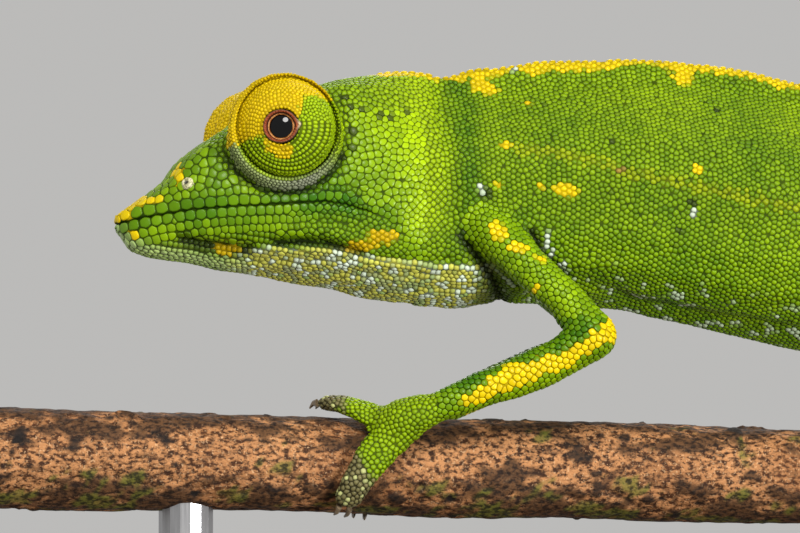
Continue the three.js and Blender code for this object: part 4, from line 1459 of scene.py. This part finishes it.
        # painted shade in the armpit's slit, and painted shadow in front of the arm's root
        armpit = crease(self.points, ARMPIT_SLIT, -1, 0.2) * (self.y > BEHIND_NECK)
        shoulder = np.where(self.body, crease(self.points, SHOULDER_FRONT, -0.85, 0.38), 0)
        return most(chin, armpit, shoulder)

    def cover(self):
        """The markings as (yellow, pale, dark), (warmth, brown, light), grey and orange. dark also holds
        painted shade, and light is a random tone with painted light added on the underside.
        """
        orange_spots = spots_cover(self.shifted, self.z, ORANGE_SPOTS, self.stray)
        eye_yellow, eye_orange, eye_grey, moat = self.turret()
        white, brown, gold, painted_light_below = self.throat()
        dots = self.body_spots(WHITE_SPOTS, 0)
        toe, bead_and_glint = self.toes()
        plain = 1 - bead_and_glint

        yellow = most(self.yellow(orange_spots), eye_yellow, gold, 0.3 * bead_and_glint)
        # the grey lower rim of each turret is also painted paler: painted light on its shaded underside
        pale = most(white, self.belly(), 0.35 * bead_and_glint, 0.25 * eye_grey)
        brown = most(brown, 0.45 * toe * plain, 0.9 * self.body_spots(BROWN_SPOTS))
        grey = most(eye_grey, 0.8 * toe)
        orange = most(eye_orange, 0.3 * orange_spots)
        spots = np.where(dots > 0.3, 0, 0.8 * self.body_spots(DARK_SPOTS))
        specks = 0.35 * (self.on["trunk"] & (self.chance > SPECKS))
        # dark: dark spots, specks and toe tips, with painted shade in the folds and painted shadow in the
        # moat under each turret
        dark = most(spots, specks, 0.42 * toe * plain, self.painted_fold_shade(orange_spots), moat)
        warmth = self.warmth() + 0.16 * painted_light_below
        # painted light: the throat, the chin's edge and the lower trunk are lit up in the colour
        light = most(painted_light_below, 0.6 * self.on["trunk"] * ease(11.5 - self.z, 0, 3))

        marks = np.stack([yellow * (1 - dots), most(pale * (1 - yellow), dots), dark], 1)
        tone = np.stack([warmth, brown, 0.5 + 0.5 * self.stray + light], 1)
        return marks, tone, grey * (1 - yellow), orange


def outline_heights(skin, y):
    """The skin's highest and lowest points at each y, near the middle plane."""
    middle = (np.abs(skin.points[:, 0]) < MIDLINE["half"]) & (skin.points[:, 2] > MIDLINE["above"])
    marks = np.arange(-0.25, 66, 0.5)
    cells = np.digitize(skin.points[:, 1], marks)
    tops, bottoms = [], []
    for cell in range(1, len(marks)):
        heights = skin.points[middle & (cells == cell), 2]
        tops.append(heights.max() if len(heights) else 10)
        bottoms.append(heights.min() if len(heights) else 10)
    centres = marks[:-1] + 0.25
    return np.interp(y, centres, tops), np.interp(y, centres, bottoms)


def colour_coat(coat, skin):
    draw = np.random.default_rng(8)
    stray = draw.uniform(-1, 1, len(coat.places))
    chance = draw.uniform(0, 1, len(coat.places))
    top = outline_heights(skin, coat.places[:, 1])
    cover = Markings(coat.places, coat.owners, top, stray, chance).cover()
    coat.colours = lambda chosen: [values[chosen] for values in cover]


# ---- Pieces ---------------------------------------------------------------------------------

BARE_EDGE = 0.95        # the bare skin between the scales is nearly as dark as their joints


def skin_piece(skin, flesh, material):
    owners, _ = flesh.nearest(skin.points)
    stray = np.clip(waver(skin.points, 0.4, 21), -1, 1)
    chance = np.clip(0.5 + 0.4 * waver(skin.points, 0.5, 22), 0, 1)
    top = outline_heights(skin, skin.points[:, 1])
    cover = Markings(skin.points, owners, top, stray, chance).cover()
    mesh = make_mesh("skin", skin.points, skin.faces)
    paint_hide(mesh, np.full(len(skin.points), BARE_EDGE), *cover)
    return place("skin", mesh, material)


def scale_groups():
    """Which solids each piece of the coat stands on. True splits it into left and right."""
    groups = {
        "head": (["head", "lower_jaw", "eye_turret_left", "eye_turret_right", "eyeball_left",
                  "eyeball_right"], True),
        "neck": (["neck"], False),
        "trunk_front": (["trunk_front"], True),
        "trunk_rear": (["trunk_rear"], True),
        "tail_root": (["tail_1", "tail_2"], False),
        "tail_curl": (["tail_3", "tail_4", "tail_5"], False),
    }
    for leg in ("fore", "hind"):
        for side in ("left", "right"):
            names = [name for name in FLESH if name.startswith(leg) and side in name]
            groups[f"{leg}leg_{side}"] = (names, False)
    return groups


def unrolled(places, line):
    """How far along a line each place is and its angle round it, both as shares."""
    step = 0.4
    centres, headings = stations(line, step)
    nearest = nearest_station(centres, places)
    side, up = ring_frame(headings[nearest])
    away = places - centres[nearest]
    turn = np.arctan2((away * up).sum(axis=1), (away * side).sum(axis=1)) / math.tau + 0.5
    along = nearest + (away * headings[nearest]).sum(axis=1) / step
    low, high = along.min(), along.max()
    return (along - low) / max(high - low, 1e-6), turn


def spots_for(coat, chosen, lines):
    """Where each scale's root lies on the coat's map: a strip for each solid, unrolled."""
    owners = coat.owners[chosen]
    spots = np.zeros((len(chosen), 2))
    strips = sorted({lines["strip"][FLESH[owner]] for owner in set(owners)})
    for owner in set(owners):
        name = FLESH[owner]
        ours = owners == owner
        strip = strips.index(lines["strip"][name])
        along, turn = unrolled(coat.places[chosen][ours], lines["of"][name])
        if lines["strip"][name] == "whole":
            spots[ours] = np.stack([along, turn], 1)
        else:
            spots[ours] = np.stack([along, (strip + 0.04 + 0.92 * turn) / len(strips)], 1)
    low, high = spots.min(axis=0), spots.max(axis=0)
    return 0.01 + 0.98 * (spots - low) / (high - low)


def lines_for(skin):
    """The lines down the middle of the body, tail and limbs, and the one that each solid follows."""
    trunk = trunk_line(skin)
    tail = tail_line()
    back = np.concatenate([trunk[trunk[:, 1] > CREST["start"]], tail[tail[:, 1] > 65]])
    limbs, of, strip = [], {}, {}
    for leg in ("fore", "hind"):
        for side in ("left", "right"):
            limb = limb_line(leg, side)
            limbs.append(limb)
            for name in FLESH:
                if name.startswith(leg) and side in name:
                    own = "toes" in name or "palm" in name
                    of[name] = rounded(ends_of(name), 0.3, 0) if own else limb
                    strip[name] = name if own else "leg"
    for name in FLESH:
        if name not in of:
            of[name] = tail if name.startswith("tail") else trunk
            strip[name] = "whole"
    below = np.arange(1.6, 20.5, 0.5)
    throat = np.stack([below, outline_heights(skin, below)[1]], 1)
    return {"trunk": trunk, "tail": tail, "back": back, "limbs": limbs, "of": of, "strip": strip,
            "throat": throat}


def coat_pieces(coat, lines, material):
    pieces = []
    for group, (names, halved) in scale_groups().items():
        members = np.isin(coat.owners, [FLESH.index(name) for name in names])
        members &= coat.kind != GHOST_KIND
        for side, label in ((1, "_left"), (-1, "_right")) if halved else ((0, ""),):
            ours = np.flatnonzero(members & ((coat.places[:, 0] * side > 0) | (side == 0)))
            plated = coat.plated[ours]
            for form, chosen, kind in ((PLATE, ours[plated], "plates"), (GRANULE, ours[~plated], "scales")):
                if len(chosen) > 8:
                    name = f"{kind}_{group}{label}"
                    mesh = scale_mesh(name, coat, chosen, form, spots_for(coat, chosen, lines))
                    pieces.append(place(name, mesh, material))
    return pieces


def shape_coat(coat):
    """Settles how high each scale stands and which are flat plates."""
    crest = coat.kind == CREST_KIND
    draw = np.random.default_rng(15).uniform(0.85, 1.15, len(coat.places))
    coat.rise = by_kind(RISE, coat.owners) * draw
    coat.rise[crest] *= CREST_RISE
    head = held(coat.owners, "head", "lower_jaw") & (coat.spacing > PLATED_FROM)
    coat.plated = (held(coat.owners, "leg_") | head) & ~crest


def ring_faces(rows, turns):
    """The quads between rows of points, each row a closed ring."""
    around = np.arange(turns)
    following = (around + 1) % turns
    band = np.stack([around, following, turns + following, turns + around], 1)
    return np.concatenate([row * turns + band for row in range(rows - 1)])


def ways_round(axis, turns):
    return np.array([ring_side(axis, angle) for angle in np.arange(turns) * math.tau / turns])


def lathe(profile, centre, axis, turns):
    """A surface round an axis from rows of (radius, height), its points and quads."""
    ways = ways_round(axis, turns)
    points = [centre + ways * radius + axis * height for radius, height in profile]
    return np.concatenate(points), ring_faces(len(profile), turns)


def eyeball_piece(side, material):
    """The ball of the eye, its rows close together where it shows."""
    centre, _, look, radius = eye_frame(side)
    turns = 48
    angles = np.concatenate([np.linspace(0.004, 0.62, 26), np.linspace(0.7, math.pi - 0.004, 18)])
    profile = [(radius * math.sin(a), radius * math.cos(a)) for a in angles]
    points, faces = lathe(profile, centre, look, turns)
    name = f"eye_{SIDES[side]}"
    mesh = make_mesh(name, points, faces[:, ::-1])
    reach = np.repeat([across for across, _ in profile], turns)
    streak = np.tile(0.5 + 0.5 * np.sin(np.arange(turns) * 5.3), len(profile))
    paint(mesh, "form", np.stack([reach, streak, 0 * reach], 1))
    return place(name, mesh, material)


def lid_piece(side, material):
    """The bare ring of the lid, from the eyeball out to the first ring of scales, a little wider
    than high and drawn out into a corner at its back."""
    centre, _, look, radius = eye_frame(side)
    turns, rows = 120, 19
    angles = np.arange(turns) * math.tau / turns
    behind = (angles + side * math.pi / 2 + math.pi) % math.tau - math.pi
    corner = bell(behind - 0.1 * side, 0.22)
    outer = 0.95 - 0.04 * np.cos(2 * angles) + 0.17 * corner
    ways = ways_round(look, turns)
    points, shares = [], np.linspace(0, 1, rows)
    for share in shares:
        reach = IRIS + (outer - IRIS) * share
        on_ball = np.sqrt(radius ** 2 - reach ** 2) + 0.015
        lifted = 1.37 + 0.09 * math.sin(share * math.pi * 0.75)
        height = on_ball + (lifted - on_ball) * ease(share, 0, 0.4) - 0.14 * ease(share, 0.86, 1)
        height = height - 0.08 * corner * bell(share - 0.75, 0.25)
        points.append(centre + ways * reach[:, None] + look * height[:, None])
    points = np.concatenate(points)
    name = f"eyelid_{SIDES[side]}"
    mesh = make_mesh(name, points, ring_faces(rows, turns)[:, ::-1])
    way = np.repeat(shares, turns)
    wrinkle = np.clip(0.5 + 0.5 * waver(points, 0.07, 31), 0, 1)
    paint(mesh, "form", np.stack([way, wrinkle, np.tile(corner, rows)], 1))
    return place(name, mesh, material)


# darkness is painted shade in the opening and round the foot of the pad
NOSTRIL_PROFILE = [     # (radius, height, share of the shift forwards and up, darkness)
    (0.01, 0.07, 1, 1), (0.08, 0.07, 1, 1), (0.11, 0.09, 1, 0.8), (0.16, 0.13, 0.8, 0.15),
    (0.25, 0.14, 0.4, 0), (0.32, 0.08, 0.1, 0.1), (0.38, -0.05, 0, 0.5),
]


def nostril_piece(skin, side, material):
    """A raised, uneven pad of bare skin with the opening towards its front and top."""
    hit = skin.cast((side * BESIDE, *NOSTRIL), (-side, 0, 0))
    spot, normal = skin.land(hit[None])
    turns = 28
    points, faces = lathe([row[:2] for row in NOSTRIL_PROFILE], spot[0], normal[0], turns)
    shift = np.repeat([row[2] for row in NOSTRIL_PROFILE], turns)[:, None]
    points = points + shift * np.array([0, -0.07, 0.06])
    points = points + 0.035 * waver(points, 0.22, 33)[:, None] * unit(points - spot[0])
    name = f"nostril_{SIDES[side]}"
    mesh = make_mesh(name, points, faces[:, ::-1])
    depth = np.repeat([row[3] for row in NOSTRIL_PROFILE], turns)
    paint(mesh, "form", np.stack([depth, depth, depth], 1))
    return place(name, mesh, material)


# ---- Perch and stand ------------------------------------------------------------------------

PERCH = {"start": -13, "end": 81, "radius": 2.7, "start_axis": -2.35, "end_axis": -3.5}
BARK_STEP = 0.16
WARTS = 150
KNOTS = [(0.4, 58, 0.55), (16.5, -25, 0.4), (36, 95, 0.5), (44, 20, 0.6), (58, -60, 0.55), (72, 60, 0.6)]


def perch_share(y):
    """How far along the perch a place is, as a share."""
    return (y - PERCH["start"]) / (PERCH["end"] - PERCH["start"])


def perch_axis(y):
    """How far the perch's axis sways to the left at each y, and its height."""
    height = PERCH["start_axis"] + (PERCH["end_axis"] - PERCH["start_axis"]) * perch_share(y)
    return 0.12 * np.sin(y * 0.16 + 1), height


def turn_from(angle, start):
    """How far an angle is turned from another, from minus half a turn to half a turn."""
    return (angle - start + math.pi) % math.tau - math.pi


def warts(y, angle, ragged):
    """Small black warts, scattered over the bark."""
    draw = np.random.default_rng(51)
    cover = np.zeros(len(y))
    lowest, highest = (PERCH["start"], -math.pi, 0), (PERCH["end"], math.pi, 1)
    for middle, round_at, size in draw.uniform(lowest, highest, (WARTS, 3)):
        near = np.abs(y - middle) < 1
        turn = turn_from(angle[near], round_at)
        gap = np.hypot(y[near] - middle, turn * PERCH["radius"]) * (1 + 0.35 * ragged[near])
        cover[near] = np.maximum(cover[near], ease(0.12 + 0.36 * size ** 2 - gap, -0.08, 0.08))
    return cover


def bark_relief(y, angle):
    """How far the bark stands out, how crusty it is, with painted shade along its top and underside counted
    as crust, its pits and its fissures.
    """
    rolled = np.stack([np.cos(angle) * 2.6, y * 0.45, np.sin(angle) * 2.6], 1)
    # more crust along the top and the underside: painted shade
    patches = waver(rolled, 1.1, 41) + 0.7 * waver(rolled, 0.35, 42) + 1.9 * np.abs(np.sin(angle)) ** 1.3
    crust_and_shade = 0.85 * ease(patches, 0.6, 1.6)
    fissure = bell(waver(rolled * [1, 0.5, 1], 0.9, 43), 0.09) * ease(waver(rolled, 3, 44), -0.4, 0.6)
    pit = ease(waver(rolled * [1, 1.6, 1], 0.5, 45), 1.55, 1.9)
    relief = 0.07 * crust_and_shade - 0.1 * fissure - 0.12 * pit
    relief = relief + 0.05 * waver(rolled, 3.2, 46) + 0.025 * waver(rolled, 0.3, 47) - 0.1
    for middle, degrees, size in KNOTS:
        turn = turn_from(angle, math.radians(degrees))
        gap = np.hypot((y - middle) / 1.15, turn * PERCH["radius"])
        relief = relief + 0.16 * bell(gap - size, 0.16) - 0.12 * bell(gap, size * 0.6)
        pit = np.maximum(pit, 0.7 * bell(gap - size * 0.62, 0.1))
    wart = warts(y, angle, waver(rolled, 0.35, 52))
    return relief + 0.08 * wart, crust_and_shade, np.maximum(pit, 0.9 * wart), fissure


def perch_piece(material):
    """The branch: bark over its whole length, laid out by its length and its turn."""
    rows = round((PERCH["end"] - PERCH["start"]) / BARK_STEP)
    turns = 104
    along = np.repeat(np.linspace(PERCH["start"], PERCH["end"], rows + 1), turns + 1)
    angle = np.tile(np.linspace(-math.pi, math.pi, turns + 1), rows + 1)
    around = np.stack([np.cos(angle), 0 * angle, np.sin(angle)], 1)
    sway, height = perch_axis(along)
    axis = np.stack([sway, along, height], 1)
    lump = 1 + 0.025 * np.sin(2 * angle + along * 0.21) + 0.02 * np.sin(3 * angle - along * 0.34)
    relief, crust_and_shade, pit, fissure = bark_relief(along, angle)
    ends = np.minimum(along - PERCH["start"], PERCH["end"] - along)
    reach = PERCH["radius"] * lump + relief - 0.12 * bell(ends, 0.3)
    points = axis + around * reach[:, None]
    first = (np.arange(rows)[:, None] * (turns + 1) + np.arange(turns)).ravel()
    faces = np.stack([first, first + turns + 1, first + turns + 2, first + 1], 1)
    mesh = make_mesh("perch_bark", points, faces)
    underside = ease(-np.sin(angle), 0.2, 0.9)
    # more green on the underside: moss, and painted shade there
    green = ease(waver(points, 1.2, 48) + 0.5 * waver(points, 0.4, 53) + 1.2 * underside, 1.1, 1.9) * 0.75
    shade = np.clip(0.5 + 0.45 * waver(points, 4, 49), 0, 1)
    paint(mesh, "marks", np.stack([crust_and_shade, pit, green], 1))
    paint(mesh, "tone", np.stack([shade, fissure, 0 * shade], 1))
    lay_out(mesh, 0.002 + 0.996 * np.stack([perch_share(along), angle / math.tau + 0.5], 1))
    return place("perch_bark", mesh, material)


def sawn_end_piece(name, y, facing, material):
    """A sawn end of the perch, with growth rings a little off centre."""
    rows, turns = 22, 72
    angles = np.arange(turns) * math.tau / turns
    shares = np.linspace(0.004, 1, rows)
    reach = PERCH["radius"] - 0.2
    spots = np.array([(reach * share * math.cos(a), reach * share * math.sin(a))
                      for share in shares for a in angles])
    sway, height = perch_axis(y)
    lift = 0.02 * waver(np.insert(spots, 1, 0, axis=1), 0.5, 51)
    points = np.stack([sway + spots[:, 0], y + facing * (0.05 + lift), height + spots[:, 1]], 1)
    faces = ring_faces(rows, turns)
    mesh = make_mesh(name, points, faces if facing < 0 else faces[:, ::-1])
    off = np.hypot(spots[:, 0] - 0.35, spots[:, 1] + 0.2) + 0.08 * waver(points, 1.2, 52)
    ring = 0.5 + 0.5 * np.sin(off * math.tau / 0.34)
    check = bell((np.arctan2(spots[:, 1], spots[:, 0]) * 5 + 0.6) % math.tau - math.pi, 0.22)
    rim = np.linalg.norm(spots, axis=1) / reach
    paint(mesh, "form", np.stack([ring, np.maximum(check * rim * 0.6, ease(rim, 0.9, 0.97)), ring], 1))
    return place(name, mesh, material)


# ---- Studio ---------------------------------------------------------------------------------

CAMERA = {"azimuth": 77.5, "elevation": -4.7, "distance": 280, "aim": (0, 15.9, 8.33), "width": 44}
SENSOR = 36


def in_frame(place_mm):
    return Vector((np.array(place_mm, float) + HOME) * MM)


def camera_ways():
    turn, rise = math.radians(CAMERA["azimuth"]), math.radians(CAMERA["elevation"])
    return np.array([math.sin(turn) * math.cos(rise), -math.cos(turn) * math.cos(rise), math.sin(rise)])


def add_camera():
    lens = bpy.data.cameras.new("camera")
    lens.sensor_width = SENSOR
    lens.lens = SENSOR * CAMERA["distance"] / CAMERA["width"]
    lens.clip_start = 0.01
    lens.clip_end = 50
    camera = bpy.data.objects.new("camera", lens)
    bpy.context.scene.collection.objects.link(camera)
    back = camera_ways()
    camera.location = in_frame(np.array(CAMERA["aim"]) + back * CAMERA["distance"])
    camera.rotation_euler = Vector(back).to_track_quat("Z", "Y").to_euler()
    bpy.context.scene.camera = camera


def add_softbox(name, place_mm, size, watts, aim, colour=(1, 1, 1)):
    light = bpy.data.lights.new(name, "AREA")
    light.shape = "ELLIPSE"
    light.size, light.size_y = (side * MM for side in size)
    light.energy = watts
    light.color = colour
    lamp = bpy.data.objects.new(name, light)
    bpy.context.scene.collection.objects.link(lamp)
    lamp.location = in_frame(place_mm)
    away = lamp.location - in_frame(aim)
    lamp.rotation_euler = away.to_track_quat("Z", "Y").to_euler()


def add_studio():
    """A pale floor that turns up into a pale wall all round, three softboxes and a pale sky."""
    floor_radius, wall_radius, wall_height = 3500, 4500, 4200
    bend = [(floor_radius + (wall_radius - floor_radius) * math.sin(a),
             (wall_radius - floor_radius) * (1 - math.cos(a))) for a in np.linspace(0, math.pi / 2, 9)]
    profile = [(1, 0), (floor_radius / 2, 0)] + bend + [(wall_radius, wall_height)]
    middle = np.array([0, -HOME[1], -HOME[2]])
    points, faces = lathe(profile, middle, np.array([0, 0, 1.0]), 64)
    mesh = make_mesh("studio_floor", points, faces)
    floor = place("studio_floor", mesh, studio_finish("paper", paint_of(240, 238, 233)))
    eye = (0, 14, 10)
    add_softbox("key_light", (333, -72, 251), (160, 160), 1.6, eye, (1, 0.98, 0.94))
    add_softbox("low_light", (420, 300, 4), (160, 60), 2.2, eye)
    add_softbox("back_light", (-380, 130, 260), (260, 260), 0.6, eye)
    world = bpy.data.worlds.new("studio")
    bpy.context.scene.world = world
    world.use_nodes = True
    sky = world.node_tree.nodes["Background"]
    sky.inputs["Color"].default_value = (1, 0.99, 0.97, 1)
    sky.inputs["Strength"].default_value = 0.5
    bpy.context.scene.view_settings.view_transform = "Standard"


# ---- Putting it together --------------------------------------------------------------------

def own(piece, slot):
    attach(piece, "root")


def refinish(prefix, material):
    """Gives the solids that stay as they are their finish."""
    for name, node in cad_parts.items():
        if prefix in name:
            node.data.materials.clear()
            node.data.materials.append(material)


def main():
    add_camera()
    add_studio()
    flesh = Flesh()
    skin = living_skin(flesh)
    lines = lines_for(skin)
    coat = Coat(skin, flesh, lines)
    shape_coat(coat)
    colour_coat(coat, skin)

    hide = hide_finish()
    hide_piece = skin_piece(skin, flesh, hide)
    own(hide_piece, "hide")
    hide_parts(*[name for name in FLESH if not name.startswith("eyeball")])
    for piece in coat_pieces(coat, lines, hide):
        own(piece, "hide")

    eye, lid, nostril = eye_finish(), lid_finish(), nostril_finish()
    for side, label in SIDES.items():
        ball = eyeball_piece(side, eye)
        own(ball, "eye")
        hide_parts(f"eyeball_{label}")
        own(lid_piece(side, lid), "hide")
        own(nostril_piece(skin, side, nostril), "hide")

    bark = perch_piece(bark_finish())
    own(bark, "bark")
    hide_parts("perch")
    sawn = cut_wood_finish()
    own(sawn_end_piece("perch_front_end", PERCH["start"], -1, sawn), "bark")
    own(sawn_end_piece("perch_rear_end", PERCH["end"], 1, sawn), "bark")
    refinish("claw", claw_finish())
    refinish("stand_base", base_finish())
    refinish("stand_rod", rod_finish())


main()
